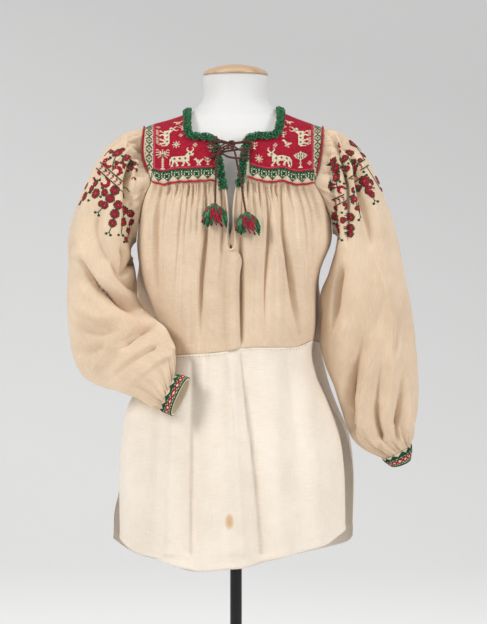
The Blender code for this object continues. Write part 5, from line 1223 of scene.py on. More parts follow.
def skirt_cloth(behind):
    """Plain lower panel from the waist seam to its folded hem, open at the side slits."""
    angle = np.linspace(-90, 90, 150) * math.pi / 180
    share = (np.sign(angle) * np.abs(np.sin(angle)) ** 0.9)[None]
    downs = np.linspace(0, 1, 92)[:, None]
    middle, half = body_ring(WAIST_ROW)[:2]
    top = smooth(WAIST_SEAM, middle + share * half)
    middle, half = body_ring(HEM_ROW)[:2]
    foot = smooth(HEM, middle + share * half)
    row = top + (foot - top) * downs
    share = share + 0 * row
    middle, half = body_ring(row)[:2]
    column = middle + share * half
    height = np.zeros_like(row)
    for waist, mid, low, rise, reach in SKIRT_FOLDS_BACK if behind else SKIRT_FOLDS_FRONT:
        at = smooth(list(zip(SKIRT_LEVELS, (waist, mid, low))), row)
        fade = np.clip((row - 345.0) / 60.0, 0.15, 1.0)
        height += 1.35 * rise * fade * np.exp(-((column - at) / reach) ** 2)
    height += folds_height(column, row, SKIRT_MARKS_BACK if behind else SKIRT_MARKS_FRONT)
    height += crumple(place(column, row, 0 * row), CRUMPLES["skirt"])
    height *= 1 - np.abs(share) ** 8
    to_hem = (foot - row) * SQUARE
    sewn_line = (to_hem > HEM_DEPTH * 0.9) * (to_hem < HEM_DEPTH * 1.1)
    height += HEM_STEP * ((to_hem < HEM_DEPTH) * 1.0 + sewn_line * -0.8)
    height += 0.0006 * (row - top < 3.0)
    points = body_point(share, row, behind, height)
    if behind:
        flare = np.where(share < 0, *(smooth(BACK_PANEL_FLARE[side], row) for side in SIDES))
        weight = np.abs(share) ** 6
        points[..., 0] += flare * weight * SQUARE
        points[..., 1] += weight * np.abs(flare) * SQUARE * 0.5
        points[:, (0, -1), 1] += WALL + SEAM_GAP
    name, node = ("lower_back", "back_lower") if behind else ("lower_front", "front_lower")
    return cloth(name, points, PALE_CLOTH_BACK if behind else PALE_CLOTH, "pale_linen", [node],
                 centre=np.array([0, -0.05 if behind else 0.05, 0.45]))


def yoke_shares(strip_top, above, below):
    """Shares down the yoke, their steps changed where the strip begins."""
    return np.concatenate([np.linspace(0, strip_top, above), np.linspace(strip_top, 1, below)[1:]])[:, None]


def yoke_cloth_front(side):
    """Ground cloth of one front yoke piece."""
    inner = STRAP_INNER[side]
    slit_top, slit_low = SLIT_AT_STRIP[side]
    shares = yoke_shares(STRIP_TOP, 15, 19)
    outer = smooth(YOKE_OUTER[side], shares[:, 0])[:, None]
    parts = np.linspace(0, 1, 26)[None]
    strip_parts = np.linspace(0, 1, 23)[None, 1:]
    down = np.clip((shares - STRIP_TOP) / (1 - STRIP_TOP), 0, 1)
    edge = slit_top + (slit_low - slit_top) * down
    columns = np.concatenate([outer + (inner - outer) * parts, inner + (edge - inner) * strip_parts], axis=1)
    points = yoke_point(columns, shares + 0 * columns)
    points[0] += (0, -SEAM_GAP / 2, 0)
    points[-1] += (0, 0, SEAM_GAP / 2)
    missing = np.zeros((len(shares) - 1, columns.shape[1] - 1), bool)
    missing[:14, 25:] = True
    return cloth(f"yoke_ground_{side}", points, YOKE_GROUND, "yoke_cloth", [f"yoke_front_{side}"],
                 left_out=missing, centre=np.array([0, 0.1, 0.9]))


def yoke_cloth_back():
    """Ground cloth of the back yoke."""
    shares = yoke_shares(BACK_STRIP_TOP, 15, 17)
    left, right = (back_outer(side, shares) for side in SIDES)
    inner_left, inner_right = STRAP_INNER.values()
    parts = np.linspace(0, 1, 20)[None]
    middle = np.linspace(0, 1, 26)[None, 1:-1]
    columns = np.concatenate([
        left + (inner_left - left) * parts,
        inner_left + (inner_right - inner_left) * middle + 0 * shares,
        inner_right + (right - inner_right) * parts,
    ], axis=1)
    points = yoke_point(columns, shares + 0 * columns, behind=True)
    points[0] += (0, SEAM_GAP / 2, 0)
    points[-1] += (0, 0, SEAM_GAP / 2)
    missing = np.zeros((len(shares) - 1, columns.shape[1] - 1), bool)
    missing[:14, 19:44] = True
    return cloth("yoke_ground_back", points, YOKE_GROUND, "yoke_cloth", ["yoke_back"],
                 left_out=missing, centre=np.array([0, -0.1, 0.9]))


def sleeve_sections(table, angles):
    """Points of the sleeve's sections round the given angles: 0 outside, 90 in front."""
    rows = np.asarray(table, float)
    cosine, sine = squared(angles, SLEEVE_POWER)
    middle = (rows[:, 0:2] + rows[:, 2:4]) / 2
    reach = (rows[:, 0:2] - rows[:, 2:4]) / 2
    run = unit(np.gradient(middle, axis=0))
    sheet = middle[:, None] + reach[:, None] * cosine[None, :, None]
    sheet = sheet + run[:, None] * rows[:, 6, None, None] * sine[None, :, None]
    depth = rows[:, 4, None] - rows[:, 5, None] * sine[None, :]
    return place(sheet[..., 0], sheet[..., 1], depth)


def armhole_ring(side, angles):
    """Ring of armhole points at the sleeve's angles, moved out by the seam gap."""
    turn = np.degrees(angles) % 360
    out = np.array([-1.0 if side == "left" else 1.0, 0, 0])
    share = np.where(turn > 180, (360 - turn) / 180, turn / 180)
    ring = np.where((turn > 180)[:, None], armhole(side, share, True), armhole(side, share, False))
    ring = ring + out * ARMHOLE_GAP
    ring[:, 2] += ARMHOLE_GAP * share ** 3
    return ring


def sheet_of(points):
    """Sheet columns and rows of points in space."""
    scale = SQUARE * (1 + points[..., 1] / EYE_DISTANCE)
    return points[..., 0] / scale + CENTRE_COLUMN, EYE_ROW - (points[..., 2] - EYE_HEIGHT) / scale


def by_band(point):
    """Whether a crease's end lies in the gathers of a wrist band."""
    edge, first, last = CREASE_ROOTS["left_band"]
    return point[1] > CREASE_ROOTS["right_band"] or (point[0] > edge and first < point[1] < last)


def crease_height(points, creases, centre_depth):
    """Height of the large creases at points of a sleeve, on the side that each one marks.

    A crease that starts in gathers opens out and dies away; the others are deepest in their middle.
    One side of each is steeper than the other.
    """
    column, row = sheet_of(points)
    height = np.zeros(points.shape[:-1])
    for k, (line, rise, reach, side) in enumerate(creases):
        line = line[::-1] if by_band(line[-1]) else line
        path = along(line, np.linspace(0, 1, 25))
        near = (column > path[:, 0].min() - 4 * reach) & (column < path[:, 0].max() + 4 * reach)
        near &= (row > path[:, 1].min() - 4 * reach) & (row < path[:, 1].max() + 4 * reach)
        facing = np.clip((centre_depth - points[..., 1]) * side / CREASE_TURN, 0, 1)
        near &= facing > 0
        c, r = column[near], row[near]
        start, step = path[:-1], np.diff(path, axis=0)
        gap = np.stack([c, r], axis=-1)[:, None] - start[None]
        share = np.clip((gap * step[None]).sum(-1) / (step ** 2).sum(-1)[None], 0, 1)
        apart = np.linalg.norm(gap - share[..., None] * step[None], axis=-1)
        nearest = apart.argmin(axis=1)
        rows = np.arange(len(c))
        at = (nearest + share[rows, nearest]) / len(step)
        aside = step[nearest, 0] * gap[rows, nearest, 1] - step[nearest, 1] * gap[rows, nearest, 0]
        steep = STEEP_SIDE * np.tanh(aside / (0.6 * reach * np.linalg.norm(step, axis=1).mean())) * (-1) ** k
        if line[0][1] < CREASE_ROOTS["armhole"] or by_band(line[0]):
            fade = 1.2 * np.clip(at / 0.08, 0.35, 1) * np.clip(1 - at, 0, 1) ** 0.7
            wide = reach * (0.85 + 0.7 * at)
        else:
            fade = np.clip(1.5 * np.sin(math.pi * np.clip(at, 0, 1)), 0, 1) ** 0.8
            wide = reach * 0.85
        fall = np.exp(-(apart[rows, nearest] / (wide * (1 + steep))) ** CREASE_POWER)
        height[near] += CREASING * rise * fade * fall * facing[near]
    return height


def pleat_places(angles, count):
    """Each pleat's number, its angle in degrees, and how far every angle of the ring is from it."""
    for k in range(count):
        at = k * 360 / count + uneven(k, -3, 3)
        yield k, at, (np.degrees(angles)[None] - at + 180) % 360 - 180


def sleeve_cloth(side):
    """Full sleeve, gathered into the armhole and into its wrist band."""
    angles = circle(184)
    knots = np.concatenate([armhole_ring(side, angles)[None], sleeve_sections(SLEEVES[side], angles)])
    last = len(knots) - 1
    steps = np.concatenate([np.linspace(0, 2, 22), np.linspace(2, last - 4, 62)[1:],
                            np.linspace(last - 4, last, 50)[1:]])
    points = between(knots, steps)
    height = np.zeros(points.shape[:2])
    for k, at, apart in pleat_places(angles, HEAD_PLEATS):
        reach = 2.0 + 0.6 * steps[:, None]
        length = uneven(k + 1, 1.2, 4.2) * (0.6 + 0.7 * np.clip(np.cos(math.radians(at)) + 0.4, 0, 1))
        fade = np.clip(steps / 0.25, 0, 1) * np.clip(1 - steps / length, 0, 1) ** 0.8
        height -= uneven(k + 4, *HEAD_PLEAT_DEPTH) * fade[:, None] * np.exp(-(apart / reach) ** 2)
    from_band = (last - steps)[:, None]
    for k, at, apart in pleat_places(angles, WRIST_PLEATS):
        reach = 3.2 + 0.9 * from_band
        length = uneven(k + 1, 2.2, 4.8)
        fade = np.clip(1 - from_band / length, 0, 1) ** 0.8 * np.clip(from_band / 0.12 + 0.25, 0, 1)
        height -= uneven(k + 2, *WRIST_PLEAT_DEPTH) * fade * np.exp(-(apart / reach) ** 2)
    height += WRIST_PUFF * np.exp(-((last - steps - 0.9) / 0.8) ** 2)[:, None]
    fade = (np.clip(steps / 0.8, 0, 1) * np.clip((last - steps) / 0.8, 0, 1))[:, None]
    creases = SLEEVE_CREASES[side] + SMALL_CREASES[side]
    height += crease_height(points, creases, points.mean(axis=1, keepdims=True)[..., 1]) * fade
    height += crumple(points, CRUMPLES["sleeve"]) * fade
    points = points + outward(points) * height[..., None]
    return cloth(f"sleeve_cloth_{side}", points, TAN_LINEN, "linen", [f"sleeve_{side}"], wrap=True)


def wrist_band(side):
    """Straight band on the sleeve's end, and its outer points for the stitches."""
    band = sleeve_sections(CUFFS[side], circle(120))
    run = band[1].mean(axis=0) - band[0].mean(axis=0)
    band[0] += run / np.linalg.norm(run) * 2 * SEAM_GAP
    points = between(band, np.linspace(0, 2, 17))
    made, _ = cloth(f"wrist_band_{side}", points, YOKE_GROUND, "band_cloth", [f"cuff_{side}"], wrap=True,
                    wall=BAND_WALL)
    return made, points


def beside(path):
    """Two directions square to a line at each of its points."""
    run = unit(np.gradient(path, axis=0))
    aside = unit(np.cross(run, OFF_AXIS))
    return aside, np.cross(run, aside)


def tube(path, radius, sides=4, caps=True):
    """Points and faces of a tube through a line of points."""
    path = np.asarray(path, float)
    radius = np.broadcast_to(np.asarray(radius, float), len(path))
    aside, over = beside(path)
    angle = circle(sides)
    rings = path[:, None] + radius[:, None, None] * (
        aside[:, None] * np.cos(angle)[None, :, None] + over[:, None] * np.sin(angle)[None, :, None])
    return rings.reshape(-1, 3), grid_faces(len(path), sides, wrap=True, caps=caps)


class Heap:
    """Gathers the points and faces of many small parts of one piece."""

    def __init__(self):
        self.verts = []
        self.faces = []
        self.count = 0

    def add(self, verts, faces):
        self.verts.append(np.asarray(verts, float).reshape(-1, 3))
        self.faces += [tuple(self.count + k for k in face) for face in faces]
        self.count += len(self.verts[-1])

    def piece(self, name, finish, slot, replaces=()):
        return mesh_piece(name, np.concatenate(self.verts), self.faces, finish, slot, replaces)


def resampled(points, step):
    """Points of a line at even steps of about the given length."""
    points = np.asarray(points, float)
    length = np.linalg.norm(np.diff(points, axis=0), axis=1).sum()
    return along(points, np.linspace(0, 1, max(3, int(length / step) + 1)))


def twisted(heap, path, radius, lay, sides=5, step=0.0006, strands=2):
    """Twisted cord: strands that wind round one line, once in each `lay` metres."""
    line = resampled(path, step)
    aside, over = beside(line)
    for k in range(strands):
        turn = 2 * math.pi * (run_of(line) / lay + k / strands)
        off = radius * 0.55
        strand = line + off * (aside * np.cos(turn)[:, None] + over * np.sin(turn)[:, None])
        heap.add(*tube(strand, radius * 0.68, sides))
    return line


def cross_stitches(name, slot, point_at, chart):
    """Cross-stitch on a cloth, one piece for each thread.

    chart[v, u] holds a thread's key or a dot; point_at(u, v, lift) gives points.
    """
    v, u = np.nonzero(chart != ".")
    low = [point_at(u + a, v + b, STITCH_RIM) for a, b in ((0, 0), (1, 0), (1, 1), (0, 1))]
    points = np.stack([*low, point_at(u + 0.5, v + 0.5, STITCH_TOP)], axis=1)
    fine = np.isfinite(points).all(axis=(1, 2))
    for corner in (1, 3):
        side = np.linalg.norm(points[:, 0] - points[:, corner], axis=1)
        fine &= (side > STITCH_SMALLEST) & (side < STITCH_LARGEST)
    for key, yarn in THREADS.items():
        chosen = points[fine & (chart[v, u] == key)]
        if len(chosen):
            faces = [(n * 5 + k, n * 5 + (k + 1) % 4, n * 5 + 4) for n in range(len(chosen)) for k in range(4)]
            mesh_piece(f"{name}_{yarn}", chosen, faces, FINISHES[yarn], slot)


class YokeFace:
    """Places on the front or back of the yoke by column and metres up from its seam."""

    def __init__(self, behind):
        self.behind = behind
        self.columns = np.arange(138.0, 332.0, 1.0)
        self.shares = np.linspace(0, 1, 90)
        points = yoke_point(self.columns[:, None], self.shares[None], behind)
        steps = np.linalg.norm(np.diff(points, axis=1), axis=-1)
        self.up = np.concatenate([np.cumsum(steps[:, ::-1], axis=1)[:, ::-1], np.zeros((len(points), 1))], axis=1)

    def share(self, column, up):
        """Share from the shoulder down, at metres up from the seam."""
        column, up = np.broadcast_arrays(np.asarray(column, float), np.asarray(up, float))
        found = np.zeros(column.shape)
        low = np.clip(np.floor(column - self.columns[0]).astype(int), 0, len(self.columns) - 2)
        part = column - self.columns[0] - low
        for k in np.unique(low):
            mine = low == k
            for j, weight in ((k, 1 - part[mine]), (k + 1, part[mine])):
                found[mine] += weight * np.interp(up[mine], self.up[j][::-1], self.shares[::-1])
        return found

    def reach(self, column):
        """Metres from the seam up to the shoulder."""
        return np.interp(column, self.columns, self.up[:, 0])

    def cell(self, column, v, lift):
        """Point at a column and v cells up from the seam, its share, and whether it is over the shoulder."""
        up, limit = v * CELL * SQUARE, self.reach(column)
        share = self.share(column, np.minimum(up, limit - 0.0004))
        return yoke_point(column, share, self.behind, lift), share, up > limit + CELL * SQUARE


def chart_of(rows, keys, mirrored=False):
    """A chart from rows of characters, the lowest row last, with its keys turned into threads.

    A mirrored chart is given by its left half and its middle column.
    """
    if mirrored:
        rows = [row + row[-2::-1] for row in rows]
    grid = np.array([list(row) for row in rows])[::-1]
    drawn = np.full(grid.shape, ".")
    for mark, key in keys.items():
        drawn[grid == mark] = key
    return drawn


def stamp(ground, motif, u, v):
    """Lays a motif's stitches over a ground chart, its lower left corner at u, v."""
    rows, columns = motif.shape
    for j in range(rows):
        for i in range(columns):
            if motif[j, i] != "." and 0 <= v + j < ground.shape[0] and 0 <= u + i < ground.shape[1]:
                ground[v + j, u + i] = motif[j, i]


def lattice(u, v, tall):
    """Border under the yoke: crossing dark lines with pale and green checks, and hanging points below."""
    across, down = (u % 11) - 5, tall - 1 - v
    reach = 5.5 if down < tall - 6 else 5.5 - (down - tall + 7) * 0.92
    if abs(across) > reach:
        return "."
    if down < 1 or abs(across) > reach - 1.4 and down > tall - 6:
        return "d"
    first, second = (across + down + 0.5) / 2.75, (across - down + 0.5) / 2.75
    if min(first % 1, second % 1) < 0.34:
        return "d"
    return "g" if (math.floor(first) + math.floor(second)) % 2 else "w"


def heart_row(u, v):
    """Upright border beside the crimson: outlined diamonds with a filled middle."""
    across, down = abs(u - 4), abs((v % 11) - 5)
    ring = across + down
    if ring in (4, 5) and across < 4:
        return "d"
    if ring <= 1:
        return "g"
    if across == 4 and down == 5:
        return "g"
    return "."


def yoke_front_stitches(side, yoke):
    """Crimson field with its figures, the upright border and the hanging border."""
    outer_column, sign, lattice_shift, heart_shift = YOKE_FIELD[side]
    wide, tall, border, low = FRONT_CELLS
    ground = np.full((tall, wide + border), ".")
    for v in range(tall):
        for u in range(1, wide + border):
            inner = u - border
            if inner >= 0 and v >= low:
                ground[v, u] = "l" if inner == 1 or v == low + 1 else "c"
            elif inner >= 0 and v >= 1:
                ground[v, u] = lattice(inner + lattice_shift, v - 1, low - 1)
            elif inner < 0 and v > 10:
                ground[v, u] = heart_row(u - 1, v + heart_shift)
    for k in range(low):
        ground[low - 1 - k, border - 1 - k // 5] = "d"
    for motif, u, v in YOKE_FIGURES[side]:
        stamp(ground, motif, border + u, v)
    slit_top, slit_low = SLIT_AT_STRIP[side]

    def point_at(u, v, lift):
        column = outer_column + sign * (u - float(border)) * CELL
        point, share, bad = yoke.cell(column, v, lift)
        down = np.clip((share - STRIP_TOP) / (1 - STRIP_TOP), 0, 1)
        edge = np.where(share < STRIP_TOP, STRAP_INNER[side], slit_top + (slit_low - slit_top) * down)
        bad = bad | ((column - edge) * sign > 1.5) | ((column - smooth(YOKE_OUTER[side], share)) * sign < -0.8)
        point[bad] = np.nan
        return point

    cross_stitches(f"yoke_stitches_{side}", "yoke_cloth", point_at, ground)


def yoke_back_stitches(yoke):
    """The same field and borders on the back yoke."""
    wide, tall, low = BACK_CELLS
    ground = np.full((tall, wide), ".")
    for v in range(1, tall):
        for u in range(wide):
            if v < low:
                ground[v, u] = lattice(u + 4, v - 1, low - 1)
            elif 3 <= u <= wide - 4:
                ground[v, u] = "l" if v == low + 1 or u in (4, wide - 5) else "c"
    for motif, u, v in YOKE_FIGURES["back"]:
        stamp(ground, motif, u, v)

    def point_at(u, v, lift):
        column = BACK_FIELD_COLUMN + u * CELL
        point, share, bad = yoke.cell(column, v, lift)
        between_straps = (column > STRAP_INNER["left"] + 1) & (column < STRAP_INNER["right"] - 1)
        bad = bad | (between_straps & (share < BACK_STRIP_TOP))
        bad |= (column < back_outer("left", share) - 0.5) | (column > back_outer("right", share) + 0.5)
        point[bad] = np.nan
        return point

    cross_stitches("yoke_stitches_back", "yoke_cloth", point_at, ground)


def band_chart(columns, rows):
    """Rows of the wrist band from its sleeve side: sawteeth, dots, crosses and a dark edge."""
    chart = np.full((rows, columns), "d")
    for u in range(columns):
        chart[:abs((u % 8) - 4), u] = "."
        chart[5, u] = "d"
        chart[6, u] = "w" if u % 4 == 2 else "g"
        for v in range(8, 13):
            chart[v, u] = "c" if abs(abs((u % 6) - 3) - abs(v - 10)) <= 1 else "w"
        chart[13, u] = "g"
        chart[14, u] = "w" if u % 3 == 1 else "g"
    return chart


def band_stitches(side, points):
    """Stitches all round a wrist band."""
    rows, count = points.shape[:2]
    normal = outward(points)

    def point_at(u, v, lift):
        a = np.asarray(u, float) / BAND_CELLS[0] * count
        b = np.clip(np.asarray(v, float) / BAND_CELLS[1] * (rows - 1), 0, rows - 1)
        i = np.clip(b.astype(int), 0, rows - 2)
        j = a.astype(int)
        fi, fj = (b - i)[..., None], (a - j)[..., None]

        def take(field):
            one = field[i, j % count] * (1 - fj) + field[i, (j + 1) % count] * fj
            two = field[i + 1, j % count] * (1 - fj) + field[i + 1, (j + 1) % count] * fj
            return one * (1 - fi) + two * fi
        return take(points) + take(normal) * lift

    cross_stitches(f"band_stitches_{side}", "band_cloth", point_at, band_chart(*BAND_CELLS))


class Needle:
    """Satin stitch and stems on a worn cloth, placed by sheet column and row."""

    def __init__(self, tree, behind=False):
        self.tree = tree
        self.behind = behind
        self.slope = None
        self.heaps = {name: Heap() for name in SATIN}

    def hold(self, column, row):
        """Takes the cloth's slope at a place for the figure worked there; false off the cloth or on its turn."""
        self.slope = None
        middle, rim = self.onto(column, row, 0.0), self.onto(column, row, 1.0)
        if middle is None:
            return False
        normal = rim - middle
        down = np.array([0, 0, -1.0]) + normal * normal[2]
        down /= np.linalg.norm(down)
        along_row = np.cross(down, normal)
        along_row *= 1.0 if along_row[0] > 0 else -1.0
        self.slope = (column, row, middle, along_row, down, normal)
        return abs(normal[1]) > WORK_FACING

    def onto(self, column, row, lift):
        if self.slope is not None:
            first_column, first_row, middle, along_row, down, normal = self.slope
            off = (along_row * (column - first_column) + down * (row - first_row)) * SQUARE
            found = self.tree.ray_cast(Vector(middle + off + normal * 0.012), Vector(-normal), 0.03)
            if found[0] is None:
                return None
            over = np.array(found[1] if found[1].dot(Vector(normal)) > 0 else -found[1])
            return np.array(found[0]) + over * lift
        aim = place(column, row, 0.0)
        if self.behind:
            start, heading = Vector((aim[0], 1.0, aim[2])), Vector((0, -1, 0))
        else:
            start = Vector((0.0, -EYE_DISTANCE, EYE_HEIGHT))
            heading = (Vector(aim) - start).normalized()
        where, normal, _, _ = self.tree.ray_cast(start, heading)
        if where is None:
            return None
        if normal.dot(heading) > 0:
            normal = -normal
        return np.array(where + normal * lift)

    def pad(self, colour, outline, height=SATIN_HEIGHT):
        """Raised pad over an outline of sheet places."""
        outline = np.asarray(outline, float)
        middle = outline.mean(axis=0)
        rings = []
        for share, lift in ((1.0, 0.0), (0.72, 0.8), (0.36, 1.0)):
            ring = [self.onto(*(middle + (p - middle) * share), height * lift + 0.0001) for p in outline]
            rings.append(ring)
        crown = self.onto(*middle, height * 1.05)
        if crown is None or any(p is None for ring in rings for p in ring):
            return
        points = np.array([p for ring in rings for p in ring] + [crown])
        if np.ptp(points[:, 1]) > PAD_DEEPEST:
            return
        n = len(outline)
        faces = []
        for k in range(n):
            m = (k + 1) % n
            for r in (0, 1):
                faces.append((r * n + k, r * n + m, r * n + n + m, r * n + n + k))
            faces.append((2 * n + k, 2 * n + m, 3 * n))
        self.heaps[colour].add(points, faces)

    def oval(self, colour, column, row, long, wide, lean, height=SATIN_HEIGHT):
        """Oval pad; lean is its long axis' angle from the sheet's rows in degrees."""
        turn = circle(8)
        a = math.radians(lean)
        x, y = long * np.cos(turn), wide * np.sin(turn)
        self.pad(colour, np.column_stack([column + x * math.cos(a) - y * math.sin(a),
                                          row + x * math.sin(a) + y * math.cos(a)]), height)

    def flower(self, column, row, size, lean=0.0):
        """Round crimson petals about a pale eye, with dark green set between them."""
        if not self.hold(column, row):
            self.slope = None
            return
        for k in range(PETALS):
            for colour, off, far, long, wide, height in FLOWER_PARTS:
                a = lean + k * 360 / PETALS + off
                turn = math.radians(a)
                self.oval(colour, column + far * size * math.cos(turn), row + far * size * math.sin(turn),
                          size * long, size * wide, a, height)
        self.oval("rose", column, row, size * 0.20, size * 0.20, 0)
        self.slope = None

    def bud(self, column, row, size, lean, flip=1):
        """Comma bud: a fat crescent that curls round a green dot."""
        arc = np.radians(np.linspace(0, 250, 8))
        inner, outer = [], []
        for k, t in enumerate(arc):
            wide = size * (0.16 + 0.34 * math.sin(math.pi * (k + 0.7) / 8.4))
            for ring, reach in ((outer, size * 0.62 + wide), (inner, size * 0.62 - wide * 0.5)):
                x, y = reach * math.cos(t), flip * reach * math.sin(t)
                a = math.radians(lean)
                ring.append((column + x * math.cos(a) - y * math.sin(a), row + x * math.sin(a) + y * math.cos(a)))
        for k in range(7):
            self.pad("crimson", [outer[k], outer[k + 1], inner[k + 1], inner[k]], SATIN_HEIGHT)
        self.oval("dark", outer[-1][0], outer[-1][1], size * 0.26, size * 0.22, 0)

    def stem(self, colour, line, radius=0.0009):
        """Corded line of stem stitch through sheet places."""
        path = resampled(np.asarray(line, float), 1.1)
        found = [self.onto(c, r, radius * 0.5) for c, r in path]
        stretch = []
        for point in found + [None]:
            broken = point is None or (stretch and np.linalg.norm(point - stretch[-1]) > STEM_GAP)
            if broken and len(stretch) > 2:
                self.heaps[colour].add(*tube(np.array(stretch), radius, 5))
            if broken:
                stretch = []
            if point is not None:
                stretch.append(point)

    def berries(self, column, row, lean, size=1.5):
        """Two dark berries at the end of a pendant."""
        a = math.radians(lean)
        for off in (-0.75, 0.75):
            c = column + 2.4 * math.cos(a + off)
            r = row + 2.4 * math.sin(a + off)
            root = (column - 1.5 * math.cos(a), row - 1.5 * math.sin(a))
            self.stem("dark", [root, (column, row), (c, r)], 0.0006)
            self.oval("dark", c + math.cos(a + off), r + math.sin(a + off), size, size * 0.9, 0)

    def pendant(self, line, sizes):
        """Stacked flowers that hang from the band and end in two berries."""
        path = along(line, np.linspace(0, 1, len(sizes) + 1))
        self.stem("dark", line, 0.0007)
        for k, size in enumerate(sizes):
            self.flower(path[k][0], path[k][1], size, uneven(k, 0, 60))
        heading = path[-1] - path[-2]
        self.berries(path[-1][0], path[-1][1], math.degrees(math.atan2(heading[1], heading[0])))

    def leaf_band(self, first, second, half):
        """Two dark green lines with crimson leaves set between them."""
        first, second = np.asarray(first, float), np.asarray(second, float)
        run = second - first
        long = np.linalg.norm(run)
        run /= long
        aside = np.array([-run[1], run[0]])
        for sign in (-1, 1):
            self.stem("dark", [first + sign * half * aside, second + sign * half * aside], 0.0011)
        lean = math.degrees(math.atan2(run[1], run[0]))
        count = max(1, int(long / 4.4))
        for k in range(count):
            at = first + run * (k + 0.5) * long / count
            self.oval("crimson", *(at - aside * half * 0.38), 1.5, half * 0.28, lean + 38)
            self.oval("rose", *(at + aside * half * 0.34), 1.4, half * 0.26, lean - 38)

    def pieces(self, name):
        for colour, heap in self.heaps.items():
            if heap.count:
                heap.piece(f"{name}_{colour}", FINISHES[SATIN[colour]], "yoke_cloth")


# Figures of the yoke, charted for cross-stitch
STAG = chart_of([
    "....................w....w.",
    "...................w......w",
    "...................w......w",
    "...................ww....ww",
    "....................ww..ww.",
    ".....................wwww..",
    "....................wwgww..",
    "...................wwgggwww",
    "..................wwwwgwwww",
    ".................wwwwww.ww.",
    "..wwwwwwwwwwwwwwwwwwww.....",
    ".wwwwdwwwwwrwwwwwdwwww.....",
    "wwwwd.dwwwr.rwwwd.dwww.....",
    "wwwwwdwwwwwrwwwwwdwwww.....",
    "ww.wwwwwwwwwwwwwwwwwww.....",
    "w..wwwww.wwwwwwwwwwwww.....",
    "w..ww.www.....www.ww.......",
    "w..ww..ww......ww..ww......",
    "w.ww...ww......ww...ww.....",
    "..ww....ww....ww.....ww....",
    ".www...www...www....www....",
], {"w": "w", "g": "g", "r": "c", "d": "d"})
PALM = chart_of([
    ".......w", ".ww....w", "w..w.w.w", "....ww.w", ".www.www", "w...ww.w", "...ww..g", ".ww..wgg",
    "w...w..g", "...w...w", "..w....w", "......ww", ".......w", "......ww", ".......w", "......ww",
    ".......w", "......ww", ".......w", "......ww", ".......w", "......ww", ".....www",
], {"w": "w", "g": "g"}, mirrored=True)
CROWN_TREE = chart_of([
    "........w", ".......ww", ".....wwdw", "...wwdwdw", "..wwdwwdw", ".wwdwdwwg", "..wwdwwdw", "...wwdwdw",
    ".....wwdw", ".......ww", "........w", "........w", "........w", ".......w.", "........w", "........w",
    "........w", ".......ww", "......www",
], {"w": "w", "g": "g", "d": "d"}, mirrored=True)
BIRD = chart_of([
    ".ww........",
    "wwww.....ww",
    "..wwww.www.",
    "...wwdwww..",
    "...wwwww...",
    "....www....",
    "....w.w....",
    "...ww.ww...",
], {"w": "w", "d": "g"})
STAR = chart_of([
    "....w", ".w..w", "..w.w", "...ww", "wwwwg", "...ww", "..w.w", ".w..w", "....w",
], {"w": "w", "g": "g"}, mirrored=True)
SPARK = chart_of(["..w", ".w.", "w.w", ".w.", "..w"], {"w": "w"}, mirrored=True)
SPRIG = chart_of([
    "w...", ".w.w", "..ww", "w..g", ".w.w", "..ww", "...w", "...w", "..ww",
], {"w": "w", "g": "g"}, mirrored=True)
COMB = chart_of(["ww.", "..w"] * 5, {"w": "w"})


def on_end(motif):
    """A figure turned a quarter, for the shoulder straps."""
    return motif.T[:, ::-1]


def facing(motif):
    """A figure that looks the other way."""
    return motif[:, ::-1]


YOKE_FIGURES = {
    "left": [
        (PALM, 3, 16), (STAG, 18, 17), (SPRIG, 60, 32), (BIRD, 45, 17), (SPRIG, 57, 17), (STAR, 21, 38),
        (facing(on_end(STAG)), 7, 43), (SPARK, 28, 52), (SPRIG, 29, 62), (COMB, 3, 44), (COMB, 3, 56),
        (SPARK, 44, 38), (SPARK, 3, 70), (BIRD, 22, 74),
    ],
    "right": [
        (CROWN_TREE, 6, 18), (STAG, 24, 17), (STAR, 56, 19), (SPRIG, 62, 33), (facing(BIRD), 24, 39),
        (SPARK, 40, 38), (facing(on_end(STAG)), 6, 43), (SPRIG, 30, 50), (SPARK, 30, 64), (COMB, 3, 44),
        (COMB, 3, 56), (SPARK, 2, 20), (BIRD, 22, 74),
    ],
    "back": [
        (PALM, 10, 14), (STAG, 28, 14), (CROWN_TREE, 60, 14), (STAR, 82, 17), (STAR, 92, 17),
        (CROWN_TREE, 106, 14), (facing(STAG), 127, 14), (PALM, 158, 14), (SPARK, 30, 37), (BIRD, 40, 37),
        (facing(BIRD), 130, 37), (SPARK, 148, 37), (STAR, 10, 42), (STAR, 163, 42), (SPRIG, 26, 46),
        (SPRIG, 148, 46), (SPARK, 86, 28), (SPARK, 94, 28), (BIRD, 14, 56), (facing(BIRD), 157, 56),
    ],
}


def turned_piece(name, profile, finish, slot, node, centre=(0.0, 0.0), steps=72):
    """Turned piece over its solid: radius and height from the top down."""
    angles = circle(steps)
    radius, height = np.asarray(profile, float).T
    rings = np.stack([
        centre[0] + radius[:, None] * np.cos(angles),
        centre[1] + radius[:, None] * np.sin(angles),
        height[:, None] + 0 * angles,
    ], axis=-1)
    faces = grid_faces(len(profile), steps, wrap=True, caps=True)
    return mesh_piece(name, rings, faces, finish, slot, [node])


def rounded(points, count=5):
    """A profile with its inner corners cut into short curves."""
    points = np.asarray(points, float)
    made = [points[0]]
    for before, corner, after in zip(points[:-2], points[1:-1], points[2:]):
        reach = min(CORNER_REACH, np.linalg.norm(corner - before) * 0.45, np.linalg.norm(after - corner) * 0.45)
        start, end = corner + unit(before - corner) * reach, corner + unit(after - corner) * reach
        for t in np.linspace(0, 1, count):
            made.append((1 - t) ** 2 * start + 2 * t * (1 - t) * corner + t * t * end)
    made.append(points[-1])
    return np.array(made)


def sheet_height(row):
    """Height above the floor of a sheet row on the centre plane."""
    return EYE_HEIGHT + (EYE_ROW - row) * SQUARE


